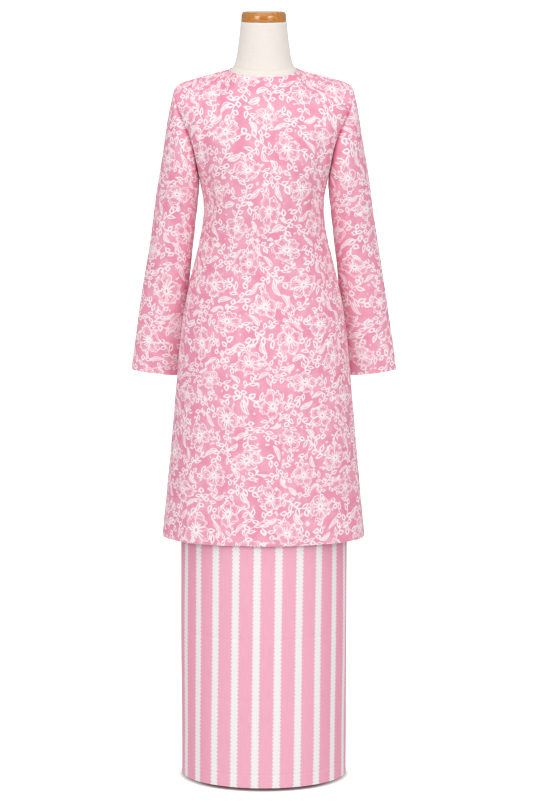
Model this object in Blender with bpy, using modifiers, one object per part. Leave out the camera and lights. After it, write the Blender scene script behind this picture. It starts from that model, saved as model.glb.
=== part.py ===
"""A baju kurung, tunic over sarong skirt, worn by a limbless dress form on a pole and a round base.

Metres, +Z up. The front faces -Y, the floor is z = 0, and x = 0 is the plane of symmetry.
Each cloth panel is one wall, made from the rows of points of its outer face.
"""

import math
from collections import namedtuple

import bmesh
import bpy
import numpy as np

COLLECTION = "baju_kurung"

# Cloth
CLOTH = 0.0012  # wall of every cotton panel
WAISTBAND_WALL = 0.0024  # cotton casing over its elastic
SEAM_PULLBACK = 0.0002  # each panel stops this far short of the seam line it shares
MERGE = 0.0001  # merge distance of the mirrored halves

# Grid of the body panels, for half a panel
CENTRE_COLUMNS = 5  # columns that end on the neckline
SHOULDER_COLUMNS = 8  # columns that end on the shoulder seam
COLUMNS = CENTRE_COLUMNS + SHOULDER_COLUMNS
COLUMN_CROWDING = 1.25  # above 1, columns lie closer together towards the side
SHOULDER_CROWDING = 1.5  # and along the shoulder towards its tip
ARMHOLE_ROWS = 10  # rows from the underarm to the shoulder
TUNIC_SKIRT_ROWS = 10  # rows from the tunic's hem to the underarm
FORM_LOWER_ROWS = 8  # rows from the form's underside to the underarm
ROW_CROWDING = 1.5  # above 1, rows lie closer together towards the underarm

# Neckline and shoulder seam, which starts at the neckline's side and ends at the sleeve
NECK_HALF_WIDTH = 0.0725
NECK_SIDE_Z = 1.5200
NECK_CENTRE_Z = {-1: 1.5065, 1: 1.5230}  # front, back
SHOULDER_RISE = 0.0315  # fall of the straight part of the seam
SHOULDER_TIP_DROP = 0.0095  # extra fall where the shoulder rounds over into the sleeve
SHOULDER_TIP_POWER = 18  # how late that rounding starts
TOP_ROW_POWER = 5  # how fast the chest rows bend into the neckline and the shoulder

# Armhole, a leaning loop from the shoulder tip down to the underarm
SHOULDER_TIP = np.array([0.1880, 1.4790])  # x, z
UNDERARM = np.array([0.1350, 1.2870])  # x, z
ARMHOLE_DEPTH = {-1: 0.0580, 1: 0.0620}  # front, back
Sway = namedtuple("Sway", "share outward")
ARMHOLE_SWAY = (  # S-curve of the seam seen from the front, from the underarm up
    Sway(0.00, 0.0000),
    Sway(0.15, -0.0020),
    Sway(0.36, -0.0038),
    Sway(0.54, -0.0010),
    Sway(0.66, 0.0035),
    Sway(0.80, 0.0068),
    Sway(0.92, 0.0045),
    Sway(1.00, 0.0000),
)
SIDE_TURN = math.radians(90)  # how far round a section has turned at the side seam
SHOULDER_TURN = math.radians(55)  # and at the shoulder

HEM_RISE = 0.0040  # the tunic's hem is this much higher in front and behind than at the sides

# One row for each level of a body: half width at the side seam, depth in front of and behind it
Level = namedtuple("Level", "z half_width front back")
TUNIC_LEVELS = (
    Level(0.525, 0.2165, 0.1470, 0.1470),
    Level(0.620, 0.2070, 0.1450, 0.1440),
    Level(0.730, 0.1965, 0.1415, 0.1390),
    Level(0.870, 0.1845, 0.1350, 0.1290),
    Level(0.960, 0.1760, 0.1280, 0.1170),
    Level(1.030, 0.1655, 0.1210, 0.1055),
    Level(1.090, 0.1525, 0.1180, 0.0975),
    Level(1.150, 0.1375, 0.1190, 0.0945),
    Level(1.200, 0.1285, 0.1230, 0.0970),
    Level(1.240, 0.1272, 0.1270, 0.1000),
    Level(1.287, 0.1350, 0.1275, 0.1045),
)
SKIRT_LEVELS = (
    Level(0.000, 0.1775, 0.1420, 0.1420),
    Level(0.300, 0.1780, 0.1420, 0.1420),
    Level(0.540, 0.1780, 0.1415, 0.1400),
    Level(0.700, 0.1775, 0.1370, 0.1340),
    Level(0.850, 0.1735, 0.1285, 0.1250),
    Level(0.950, 0.1610, 0.1180, 0.1110),
    Level(1.020, 0.1400, 0.1060, 0.0970),
    Level(1.045, 0.1320, 0.1020, 0.0920),
)
WAISTBAND_LEVELS = (
    Level(1.0453, 0.1320, 0.1020, 0.0920),
    Level(1.0600, 0.1294, 0.0996, 0.0900),
    Level(1.0750, 0.1268, 0.0975, 0.0885),
)
# The form is FORM_INSET smaller all round than these levels
FORM_LEVELS = (
    Level(0.780, 0.1600, 0.1050, 0.1120),
    Level(0.860, 0.1660, 0.1100, 0.1200),
    Level(0.950, 0.1580, 0.1100, 0.1080),
    Level(1.020, 0.1370, 0.1020, 0.0935),
    Level(1.060, 0.1270, 0.0965, 0.0870),
    Level(1.120, 0.1130, 0.0920, 0.0800),
    Level(1.180, 0.1180, 0.1040, 0.0860),
    Level(1.230, 0.1235, 0.1215, 0.0950),
    Level(1.287, 0.1350, 0.1275, 0.1045),
)
# Depth of the centre line from the underarm's height to the neckline
Rise = namedtuple("Rise", "z depth")
CENTRE_RISE = {
    -1: (
        Rise(1.3450, 0.1240),
        Rise(1.4000, 0.1150),
        Rise(1.4500, 0.0985),
        Rise(1.4850, 0.0800),
        Rise(1.5065, 0.0620),
    ),
    1: (
        Rise(1.3450, 0.1075),
        Rise(1.4000, 0.1035),
        Rise(1.4500, 0.0920),
        Rise(1.4950, 0.0740),
        Rise(1.5230, 0.0570),
    ),
}

# One row for each ring of the sleeve, from the armhole to the cuff
Ring = namedtuple("Ring", "share inner_x inner_z outer_x outer_z front back centre_y")
SLEEVE_RINGS = (
    Ring(0.00, UNDERARM[0], UNDERARM[1], SHOULDER_TIP[0], SHOULDER_TIP[1], 0.0580, 0.0620, 0.000),
    Ring(0.10, 0.1358, 1.2740, 0.1985, 1.4310, 0.0620, 0.0640, 0.002),
    Ring(0.22, 0.1375, 1.2560, 0.2090, 1.3690, 0.0615, 0.0630, 0.005),
    Ring(0.36, 0.1408, 1.2250, 0.2215, 1.2920, 0.0580, 0.0600, 0.010),
    Ring(0.50, 0.1460, 1.1800, 0.2332, 1.2120, 0.0530, 0.0550, 0.017),
    Ring(0.65, 0.1545, 1.1040, 0.2467, 1.1220, 0.0460, 0.0480, 0.027),
    Ring(0.82, 0.1670, 0.9810, 0.2672, 0.9960, 0.0380, 0.0400, 0.038),
    Ring(1.00, 0.1795, 0.8640, 0.2838, 0.8760, 0.0310, 0.0310, 0.046),
)
SLEEVE_ROWS = 12
SWAY_FADES_BY = 0.25  # share of the sleeve where the seam's S-curve has died out

# Skirt grid, for half a panel
SKIRT_COLUMNS = 9
SKIRT_ROWS = 9
WAISTBAND_ROWS = 2

# Dress form
FORM_GAP = 0.0010  # air between the cloth and the form
FORM_INSET = CLOTH + FORM_GAP
FORM_ARM_INSET = 0.0040  # how far inside the armhole the form's flat end is
NECK_TOP_Z = 1.6178
NECK_TOP_RADIUS = 0.0466
NECK_ROWS = 7
NECK_FLARE_SHARE = 0.5  # share of the flare that is gone within a few centimetres
NECK_FLARE_LENGTH = 0.10  # of the neck's height
NECK_TAPER_POWER = 1.3
CAP_RADIUS = 0.0464
CAP_THICKNESS = 0.0210
CAP_ROUNDING = 0.0060
CAP_GAP = 0.0003
POLE_RADIUS = 0.0140
BASE_RADIUS = 0.1150
BASE_THICKNESS = 0.0120
BASE_ROUNDING = 0.0040
PART_GAP = 0.0003
TURNED_STEPS = 40
ROUNDING_STEPS = 4

# Colour, roughness and metallic value of each material
FINISHES = {
    "printed_cotton": ((0.86, 0.42, 0.55), 0.85, 0.0),
    "striped_cotton": ((0.88, 0.47, 0.60), 0.80, 0.0),
    "plain_cotton": ((0.80, 0.40, 0.52), 0.85, 0.0),
    "form_linen": ((0.84, 0.79, 0.72), 0.90, 0.0),
    "oiled_beech": ((0.58, 0.31, 0.10), 0.25, 0.0),
    "painted_steel": ((0.75, 0.75, 0.74), 0.40, 0.0),
}


def smooth(stations, values, at):
    """A smooth curve through a table's rows, read at one place or several."""
    stations, values, at = (np.asarray(v, float) for v in (stations, values, at))
    step = np.diff(stations)
    slope = np.diff(values) / step
    inner = (slope[:-1] * step[1:] + slope[1:] * step[:-1]) / (step[:-1] + step[1:])
    tangent = np.concatenate([slope[:1], inner, slope[-1:]])
    k = np.clip(np.searchsorted(stations, at) - 1, 0, len(step) - 1)
    s = (at - stations[k]) / step[k]
    start = (1 + 2 * s) * (1 - s) ** 2 * values[k] + s * (1 - s) ** 2 * step[k] * tangent[k]
    end = s**2 * (3 - 2 * s) * values[k + 1] - s**2 * (1 - s) * step[k] * tangent[k + 1]
    return start + end


def crowded(share, power):
    """Spaces shares from 0 to 1 so that, for a power above 1, they lie closer together near 1."""
    return 1 - (1 - share) ** power


def column_of(table, field):
    return [getattr(row, field) for row in table]


# ---- outlines of the body panels ----


def armhole_point(angle, side):
    """A point of the seam: angle 0 is the shoulder tip, pi the underarm; side is -1 in front, 1 behind."""
    share = (1 + math.cos(angle)) / 2
    x, z = UNDERARM + (SHOULDER_TIP - UNDERARM) * share
    return np.array([x + sway(share), side * ARMHOLE_DEPTH[side] * math.sin(angle), z])


def sway(share):
    shares, outward = (column_of(ARMHOLE_SWAY, field) for field in Sway._fields)
    return float(smooth(shares, outward, share))


def top_edge(side):
    """The neckline from the centre out, then the shoulder seam, with one point for each column."""
    centre_depth = CENTRE_RISE[side][-1].depth
    points = []
    for i in range(CENTRE_COLUMNS + 1):
        angle = math.pi / 2 * i / CENTRE_COLUMNS
        rise = NECK_SIDE_Z - NECK_CENTRE_Z[side]
        points.append(
            (
                NECK_HALF_WIDTH * math.sin(angle),
                side * centre_depth * math.cos(angle),
                NECK_CENTRE_Z[side] + rise * (1 - math.cos(angle)),
            )
        )
    for i in range(1, SHOULDER_COLUMNS + 1):
        share = crowded(i / SHOULDER_COLUMNS, SHOULDER_CROWDING)
        x = NECK_HALF_WIDTH + (SHOULDER_TIP[0] - NECK_HALF_WIDTH) * share
        points.append((x, 0.0, shoulder_z(share)))
    return np.array(points)


def shoulder_z(share):
    fall = SHOULDER_RISE * share + SHOULDER_TIP_DROP * share**SHOULDER_TIP_POWER
    return NECK_SIDE_Z - fall


def section(side, centre_depth, centre_z, edge, turn, shares):
    """A row from the centre line to edge, an arc of an ellipse that has turned by turn at edge."""
    angles = turn * shares
    towards_centre = (np.cos(angles) - math.cos(turn)) / (1 - math.cos(turn))
    x = edge[0] * np.sin(angles) / math.sin(turn)
    y = edge[1] + (side * centre_depth - edge[1]) * towards_centre
    z = edge[2] + (centre_z - edge[2]) * towards_centre
    return np.stack([x, y, z], axis=1)


def body_half(levels, side, lower_rows, hem_rise=0.0):
    """Outer points of half a front (side -1) or back (1): rows climb, columns run to the side."""
    shares = crowded(np.linspace(0, 1, COLUMNS + 1), COLUMN_CROWDING)
    depth_field = "front" if side < 0 else "back"
    centre_z = column_of(levels, "z") + column_of(CENTRE_RISE[side], "z")
    centre_depth = column_of(levels, depth_field) + column_of(CENTRE_RISE[side], "depth")
    bottom, top = levels[0].z, levels[-1].z
    rows = []
    for j in range(lower_rows):
        climbed = crowded(j / lower_rows, ROW_CROWDING)
        z = bottom + (top - bottom) * climbed
        half_width = float(smooth(column_of(levels, "z"), column_of(levels, "half_width"), z))
        depth = float(smooth(centre_z, centre_depth, z))
        row = section(side, depth, z, (half_width, 0.0, z), SIDE_TURN, shares)
        row[:, 2] += hem_rise * (1 - climbed) ** 2 * np.cos(SIDE_TURN * shares) ** 2
        rows.append(row)
    neck = top_edge(side)
    lift = top_row_lift(side, neck, shares)
    for j in range(ARMHOLE_ROWS + 1):
        climbed = j / ARMHOLE_ROWS
        z = top + (NECK_CENTRE_Z[side] - top) * climbed
        depth = float(smooth(centre_z, centre_depth, z))
        edge = armhole_point(math.pi * (1 - climbed), side)
        row = section(side, depth, z, edge, turn_at(climbed), shares)
        rows.append(row + lift * climbed**TOP_ROW_POWER)
    return np.array(rows)


def turn_at(climbed):
    return SIDE_TURN + (SHOULDER_TURN - SIDE_TURN) * climbed


def top_row_lift(side, neck, shares):
    """What bends the top row from a plain section into the neckline and the shoulder seam."""
    tip = armhole_point(0, side)
    plain = section(side, abs(neck[0][1]), neck[0][2], tip, turn_at(1), shares)
    return neck - plain


def sleeve_points():
    """Rings of the sleeve at x > 0, from the armhole to the cuff, each from the top round the front."""
    shares = np.linspace(0, 1, SLEEVE_ROWS + 1)
    field = {name: smooth(column_of(SLEEVE_RINGS, "share"), column_of(SLEEVE_RINGS, name), shares)
             for name in Ring._fields[1:]}
    rings = []
    for k, share in enumerate(shares):
        outer = np.array([field["outer_x"][k], field["outer_z"][k]])
        inner = np.array([field["inner_x"][k], field["inner_z"][k]])
        sway_left = max(0.0, 1 - share / SWAY_FADES_BY)
        ring = []
        for i in range(2 * ARMHOLE_ROWS):
            angle = math.pi * i / ARMHOLE_ROWS
            side = -1 if i <= ARMHOLE_ROWS else 1
            towards_outer = (1 + math.cos(angle)) / 2
            x, z = inner + (outer - inner) * towards_outer
            depth = field["front"][k] if side < 0 else field["back"][k]
            y = field["centre_y"][k] + side * depth * abs(math.sin(angle))
            ring.append((x + sway_left * sway(towards_outer), y, z))
        rings.append(ring)
    return np.array(rings)


def tube_half(levels, side, rows, columns):
    """Half a front or back panel of a tube that is open at both ends."""
    shares = np.linspace(0, 1, columns + 1)
    heights = np.linspace(levels[0].z, levels[-1].z, rows + 1)
    stations = column_of(levels, "z")
    half_width = smooth(stations, column_of(levels, "half_width"), heights)
    depth = smooth(stations, column_of(levels, "front" if side < 0 else "back"), heights)
    return np.array(
        [section(side, depth[j], z, (half_width[j], 0.0, z), SIDE_TURN, shares)
         for j, z in enumerate(heights)]
    )


# ---- from outer points to walls ----


def key(point):
    return tuple(np.round(point, 6))


def joint_normals(sheets):
    """Outward normals at the points of sheets, shared where these meet. A sheet is (points, sign, ring)."""
    total = {}
    for points, sign, ring in sheets:
        rows, columns = points.shape[:2]
        for j in range(rows - 1):
            for i in range(columns if ring else columns - 1):
                corners = [points[j, i], points[j, (i + 1) % columns],
                           points[j + 1, (i + 1) % columns], points[j + 1, i]]
                normal = sign * np.cross(corners[2] - corners[0], corners[3] - corners[1])
                for corner in corners:
                    total[key(corner)] = total.get(key(corner), 0.0) + normal
    unit = {k: n / np.linalg.norm(n) for k, n in total.items()}
    return [np.array([[unit[key(p)] for p in row] for row in points]) for points, _, _ in sheets]


def mitred(own, other):
    """The way in at a seam, so that two walls meet face to face. In a deep valley each goes its own way."""
    agreement = float(own @ other)
    return (own + other) / (1 + agreement) if agreement > 0.2 else own


def pulled_back(points, towards):
    """Points moved SEAM_PULLBACK towards the next ones."""
    way = towards - points
    return points + SEAM_PULLBACK * way / np.linalg.norm(way, axis=-1, keepdims=True)


def stop_short(faces, side_seam=True, shoulder=False):
    """Pulls a half panel's outer and inner points back from its seams."""
    for points in faces:
        if shoulder:
            seam = (-1, slice(CENTRE_COLUMNS, None))
            points[seam] = pulled_back(points[seam], points[-2, CENTRE_COLUMNS:])
        if side_seam:
            points[:, -1] = pulled_back(points[:, -1], points[:, -2])


def new_object(name, mesh, material):
    mesh.materials.append(bpy.data.materials[material])
    obj = bpy.data.objects.new(name, mesh)
    bpy.data.collections[COLLECTION].objects.link(obj)
    return obj


def shade(mesh):
    mesh.shade_smooth()
    mesh.set_sharp_from_angle(angle=math.radians(40))


def mirror_in_x(obj):
    mirror = obj.modifiers.new("other_half", "MIRROR")
    mirror.merge_threshold = MERGE


def wall(name, outer, inner, material, ring=False, half=False):
    """A cloth wall between outer and inner points. A half wall is open at x = 0 and is mirrored there."""
    rows, columns = outer.shape[:2]
    bm = bmesh.new()
    faces = [[[bm.verts.new(p) for p in row] for row in points] for points in (outer, inner)]
    across = columns if ring else columns - 1

    def quad(*corners):
        bm.faces.new([faces[f][j][i % columns] for f, j, i in corners])

    for j in range(rows - 1):
        for i in range(across):
            quad((0, j, i), (0, j, i + 1), (0, j + 1, i + 1), (0, j + 1, i))
            quad((1, j, i), (1, j + 1, i), (1, j + 1, i + 1), (1, j, i + 1))
    for j in (0, rows - 1):
        for i in range(across):
            quad((0, j, i), (0, j, i + 1), (1, j, i + 1), (1, j, i))
    if not ring:
        for i in (columns - 1,) if half else (0, columns - 1):
            for j in range(rows - 1):
                quad((0, j, i), (0, j + 1, i), (1, j + 1, i), (1, j, i))
    bmesh.ops.recalc_face_normals(bm, faces=bm.faces)
    mesh = bpy.data.meshes.new(name)
    bm.to_mesh(mesh)
    bm.free()
    shade(mesh)
    obj = new_object(name, mesh, material)
    if half:
        mirror_in_x(obj)
    return obj


# ---- the tunic ----


def tunic():
    outer = {side: body_half(TUNIC_LEVELS, side, TUNIC_SKIRT_ROWS, HEM_RISE) for side in (-1, 1)}
    sleeve = sleeve_points()
    normal = dict(zip((-1, 1), joint_normals([(outer[-1], 1, False), (outer[1], -1, False)])))
    (sleeve_normal,) = joint_normals([(sleeve, 1, True)])
    own_ring = sleeve_normal[0].copy()
    for side in (-1, 1):
        for j in range(ARMHOLE_ROWS + 1):
            step = ARMHOLE_ROWS - j if side < 0 else (ARMHOLE_ROWS + j) % (2 * ARMHOLE_ROWS)
            row = TUNIC_SKIRT_ROWS + j
            body_way = normal[side][row, -1].copy()
            normal[side][row, -1] = mitred(body_way, own_ring[step])
            sleeve_normal[0, step] = mitred(own_ring[step], body_way)
    for side, name in ((-1, "tunic_front"), (1, "tunic_back")):
        inner = outer[side] - CLOTH * normal[side]
        inner[:, 0, 0] = 0.0
        stop_short((outer[side], inner), shoulder=True)
        wall(name, outer[side], inner, "printed_cotton", half=True)
    sleeve_inner = sleeve - CLOTH * sleeve_normal
    for points in (sleeve, sleeve_inner):
        points[0] = pulled_back(points[0], points[1])
    # The wearer's left sleeve is at x > 0
    for name, flip in (("sleeve_left", 1), ("sleeve_right", -1)):
        across = np.array([flip, 1, 1])
        wall(name, sleeve * across, sleeve_inner * across, "printed_cotton", ring=True)


# ---- the skirt ----


def tube_panel(name, levels, side, thickness, rows, columns, material):
    halves = {s: tube_half(levels, s, rows, columns) for s in (-1, 1)}
    normal = dict(zip((-1, 1), joint_normals([(halves[-1], 1, False), (halves[1], -1, False)])))
    normal[side][..., 2] = 0.0  # sections stay level, so the hem stands flat
    outer = halves[side]
    inner = outer - thickness * normal[side]
    inner[:, 0, 0] = 0.0
    stop_short((outer, inner))
    return wall(name, outer, inner, material, half=True)


def skirt():
    for side, name in ((-1, "skirt_front"), (1, "skirt_back")):
        tube_panel(name, SKIRT_LEVELS, side, CLOTH, SKIRT_ROWS, SKIRT_COLUMNS, "striped_cotton")
    waistband()


def waistband():
    """A closed band above the two skirt panels, cut in one."""
    halves = [tube_half(WAISTBAND_LEVELS, side, WAISTBAND_ROWS, SKIRT_COLUMNS) for side in (-1, 1)]
    front, back = halves
    right = np.concatenate([front, back[:, -2::-1]], axis=1)
    left = right[:, -2:0:-1] * np.array([-1, 1, 1])
    outer = np.concatenate([right, left], axis=1)
    (normal,) = joint_normals([(outer, 1, True)])
    normal[..., 2] = 0.0
    wall("skirt_waistband", outer, outer - WAISTBAND_WALL * normal, "plain_cotton", ring=True)


# ---- the dress form and its stand ----


def neck_rings(neckline):
    """Rings of the neck above the neckline's half loop, which runs from the front to the back."""
    start = np.array(neckline)
    angles = np.arctan2(start[:, 1], start[:, 0])
    top = np.stack([NECK_TOP_RADIUS * np.cos(angles), NECK_TOP_RADIUS * np.sin(angles),
                    np.full(len(start), NECK_TOP_Z)], axis=1)
    rings = []
    for k in range(1, NECK_ROWS + 1):
        share = (k / NECK_ROWS) ** ROW_CROWDING
        sharp = NECK_FLARE_SHARE * math.exp(-share / NECK_FLARE_LENGTH)
        slow = (1 - NECK_FLARE_SHARE) * (1 - share) ** NECK_TAPER_POWER
        left = (sharp + slow) * (1 if k < NECK_ROWS else 0)
        ring = top + (start - top) * left
        ring[:, 2] = start[:, 2] + (top[:, 2] - start[:, 2]) * share
        rings.append(ring)
    return rings


def form_torso():
    """One smooth solid: hips to shoulders, flat where arms would start, with the neck on top."""
    halves = [body_half(FORM_LEVELS, side, FORM_LOWER_ROWS) for side in (-1, 1)]
    normals = joint_normals([(halves[0], 1, False), (halves[1], -1, False)])
    front, back = (points - FORM_INSET * normal for points, normal in zip(halves, normals))
    for points in (front, back):
        points[:, 0, 0] = 0.0
        points[0, :, 2] = FORM_LEVELS[0].z
        points[FORM_LOWER_ROWS:, -1, 0] -= FORM_ARM_INSET
    bm = bmesh.new()
    made = {}

    def face(*corners):
        """Adds a face, sharing its corners with its neighbours and leaving out one that comes twice."""
        for corner in corners:
            if key(corner) not in made:
                made[key(corner)] = bm.verts.new(corner)
        bm.faces.new(list(dict.fromkeys(made[key(corner)] for corner in corners)))

    def quads(rows):
        for low, high in zip(rows, rows[1:]):
            for i in range(len(low) - 1):
                face(low[i], low[i + 1], high[i + 1], high[i])

    quads(front)
    quads(back)
    neckline = [*front[-1, : CENTRE_COLUMNS + 1], *back[-1, CENTRE_COLUMNS - 1 :: -1]]
    rings = [np.array(neckline), *neck_rings(neckline)]
    quads(rings)
    face(*rings[-1])
    face(*front[0], *back[0, -2::-1])
    # The flat ends where arms would start
    quads(np.stack([front[FORM_LOWER_ROWS:, -1], back[FORM_LOWER_ROWS:, -1]], axis=1))
    bmesh.ops.recalc_face_normals(bm, faces=bm.faces)
    mesh = bpy.data.meshes.new("form_torso")
    bm.to_mesh(mesh)
    bm.free()
    shade(mesh)
    mirror_in_x(new_object("form_torso", mesh, "form_linen"))


def turned(name, profile, material, location):
    """A profile of (radius, height) points, from the top of the axis to its foot, spun about Z."""
    mesh = bpy.data.meshes.new(name)
    edges = [(i, i + 1) for i in range(len(profile) - 1)]
    mesh.from_pydata([(r, 0.0, h) for r, h in profile], edges, [])
    obj = new_object(name, mesh, material)
    obj.location = location
    screw = obj.modifiers.new("spin", "SCREW")
    screw.axis = "Z"
    screw.steps = screw.render_steps = TURNED_STEPS
    screw.use_merge_vertices = True
    screw.merge_threshold = MERGE
    screw.use_smooth_shade = True
    return obj


def rounded_disc(radius, thickness, rounding):
    """Profile of a disc whose upper edge is rounded."""
    arc = [(radius - rounding * (1 - math.sin(a)), thickness - rounding * (1 - math.cos(a)))
           for a in np.linspace(0, math.pi / 2, ROUNDING_STEPS + 1)]
    return [(0.0, thickness), *arc, (radius, 0.0), (0.0, 0.0)]


def stand():
    cap = rounded_disc(CAP_RADIUS, CAP_THICKNESS, CAP_ROUNDING)
    turned("form_neck_cap", cap, "oiled_beech", (0.0, 0.0, NECK_TOP_Z + CAP_GAP))
    base = rounded_disc(BASE_RADIUS, BASE_THICKNESS, BASE_ROUNDING)
    turned("form_base", base, "painted_steel", (0.0, 0.0, 0.0))
    foot = BASE_THICKNESS + PART_GAP
    length = FORM_LEVELS[0].z - PART_GAP - foot
    bpy.ops.mesh.primitive_cylinder_add(vertices=TURNED_STEPS, radius=POLE_RADIUS, depth=length,
                                        location=(0.0, 0.0, foot + length / 2))
    pole = bpy.context.object
    pole.name = pole.data.name = "form_pole"
    pole.data.materials.append(bpy.data.materials["painted_steel"])
    shade(pole.data)
    for owner in pole.users_collection:
        owner.objects.unlink(pole)
    bpy.data.collections[COLLECTION].objects.link(pole)


# ---- scene ----


def clear_scene():
    for obj in list(bpy.data.objects):
        bpy.data.objects.remove(obj)
    collection = bpy.data.collections.new(COLLECTION)
    bpy.context.scene.collection.children.link(collection)


def make_materials():
    for name, (colour, roughness, metallic) in FINISHES.items():
        material = bpy.data.materials.new(name)
        material.use_nodes = True
        shader = material.node_tree.nodes["Principled BSDF"]
        shader.inputs["Base Color"].default_value = (*colour, 1.0)
        shader.inputs["Roughness"].default_value = roughness
        shader.inputs["Metallic"].default_value = metallic
        material.diffuse_color = (*colour, 1.0)


clear_scene()
make_materials()
tunic()
skirt()
form_torso()
stand()
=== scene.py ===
"""The looks of a baju kurung on a dress form: cloth, sewing, the form's linen and wood, and a plain studio.

Metres, +Z up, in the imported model's frame: the garment's front faces -Y and the floor is z = 0.
The cloth follows the same tables of levels and rings as the solids, on a finer grid with its creases.
A side is -1 in front and 1 behind.
"""

import math
from collections import namedtuple
from functools import partial, reduce

import bmesh
import bpy
import numpy as np
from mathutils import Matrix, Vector


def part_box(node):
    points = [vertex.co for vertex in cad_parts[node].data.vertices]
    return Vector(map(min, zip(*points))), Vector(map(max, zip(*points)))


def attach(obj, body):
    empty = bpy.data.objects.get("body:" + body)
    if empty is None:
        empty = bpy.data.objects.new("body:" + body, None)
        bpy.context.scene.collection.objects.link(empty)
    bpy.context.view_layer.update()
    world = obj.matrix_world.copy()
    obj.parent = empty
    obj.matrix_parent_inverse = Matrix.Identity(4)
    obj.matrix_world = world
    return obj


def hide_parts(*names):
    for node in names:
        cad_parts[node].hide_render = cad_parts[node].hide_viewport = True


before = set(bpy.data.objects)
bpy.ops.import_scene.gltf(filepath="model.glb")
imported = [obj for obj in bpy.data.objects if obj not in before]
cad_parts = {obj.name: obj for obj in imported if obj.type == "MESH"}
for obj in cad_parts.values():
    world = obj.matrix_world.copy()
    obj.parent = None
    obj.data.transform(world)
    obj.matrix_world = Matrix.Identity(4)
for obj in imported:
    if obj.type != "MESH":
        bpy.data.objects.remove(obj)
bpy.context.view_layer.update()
BODY = "root"

# ---- the garment's sizes, as in the solids ----

CLOTH = 0.0012
WAISTBAND_WALL = 0.0024
SEAM_PULLBACK = 0.0002
FINE = 4  # the grids have this many times the solids' columns and rows

CENTRE_COLUMNS = 5 * FINE
SHOULDER_COLUMNS = 8 * FINE
COLUMNS = CENTRE_COLUMNS + SHOULDER_COLUMNS
NECKLINE = slice(COLUMNS - CENTRE_COLUMNS, COLUMNS + CENTRE_COLUMNS + 1)  # among a whole panel's columns
COLUMN_CROWDING = 1.25
SHOULDER_CROWDING = 1.5
ARMHOLE_ROWS = 10 * FINE
LOWER_ROWS = 10 * FINE
ROW_CROWDING = 1.5
SLEEVE_ROWS = 12 * FINE
SLEEVE_TOP_ROWS = (0.002, 0.004, 0.006, 0.0085, 0.0115, 0.015)  # where the crease at the armhole is
SKIRT_COLUMNS = 96  # close enough for the gathers at the top
SKIRT_SIDE_COLUMNS = (0.992, 0.997)
SKIRT_ROWS = 9 * FINE
WAISTBAND_ROWS = 3 * FINE

NECK_HALF_WIDTH = 0.0725
NECK_SIDE_Z = 1.5200
NECK_CENTRE_Z = {-1: 1.5065, 1: 1.5230}
SHOULDER_RISE = 0.0315
SHOULDER_TIP_DROP = 0.0095
SHOULDER_TIP_POWER = 18
TOP_ROW_POWER = 5
SHOULDER_TIP = np.array([0.1880, 1.4790])  # x, z
UNDERARM = np.array([0.1350, 1.2870])  # x, z
ARMHOLE_DEPTH = {-1: 0.0580, 1: 0.0620}
SIDE_TURN = math.radians(90)
SHOULDER_TURN = math.radians(55)
HEM_RISE = 0.0040

Sway = namedtuple("Sway", "share outward")
ARMHOLE_SWAY = (
    Sway(0.00, 0.0000),
    Sway(0.15, -0.0020),
    Sway(0.36, -0.0038),
    Sway(0.54, -0.0010),
    Sway(0.66, 0.0035),
    Sway(0.80, 0.0068),
    Sway(0.92, 0.0045),
    Sway(1.00, 0.0000),
)
# Half width at the side seam, and depth in front of and behind it, at each height
Level = namedtuple("Level", "z half_width front back")
TUNIC_LEVELS = (
    Level(0.525, 0.2165, 0.1470, 0.1470),
    Level(0.620, 0.2070, 0.1450, 0.1440),
    Level(0.730, 0.1965, 0.1415, 0.1390),
    Level(0.870, 0.1845, 0.1350, 0.1290),
    Level(0.960, 0.1760, 0.1280, 0.1170),
    Level(1.030, 0.1655, 0.1210, 0.1055),
    Level(1.090, 0.1525, 0.1180, 0.0975),
    Level(1.150, 0.1375, 0.1190, 0.0945),
    Level(1.200, 0.1285, 0.1230, 0.0970),
    Level(1.240, 0.1272, 0.1270, 0.1000),
    Level(1.287, 0.1350, 0.1275, 0.1045),
)
SKIRT_LEVELS = (
    Level(0.000, 0.1775, 0.1420, 0.1420),
    Level(0.300, 0.1780, 0.1420, 0.1420),
    Level(0.540, 0.1780, 0.1415, 0.1400),
    Level(0.700, 0.1775, 0.1370, 0.1340),
    Level(0.850, 0.1735, 0.1285, 0.1250),
    Level(0.950, 0.1610, 0.1180, 0.1110),
    Level(1.020, 0.1400, 0.1060, 0.0970),
    Level(1.045, 0.1320, 0.1020, 0.0920),
)
WAISTBAND_LEVELS = (
    Level(1.0453, 0.1320, 0.1020, 0.0920),
    Level(1.0600, 0.1294, 0.0996, 0.0900),
    Level(1.0750, 0.1268, 0.0975, 0.0885),
)
FORM_LEVELS = (
    Level(0.780, 0.1600, 0.1050, 0.1120),
    Level(0.860, 0.1660, 0.1100, 0.1200),
    Level(0.950, 0.1580, 0.1100, 0.1080),
    Level(1.020, 0.1370, 0.1020, 0.0935),
    Level(1.060, 0.1270, 0.0965, 0.0870),
    Level(1.120, 0.1130, 0.0920, 0.0800),
    Level(1.180, 0.1180, 0.1040, 0.0860),
    Level(1.230, 0.1235, 0.1215, 0.0950),
    Level(1.287, 0.1350, 0.1275, 0.1045),
)
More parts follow.
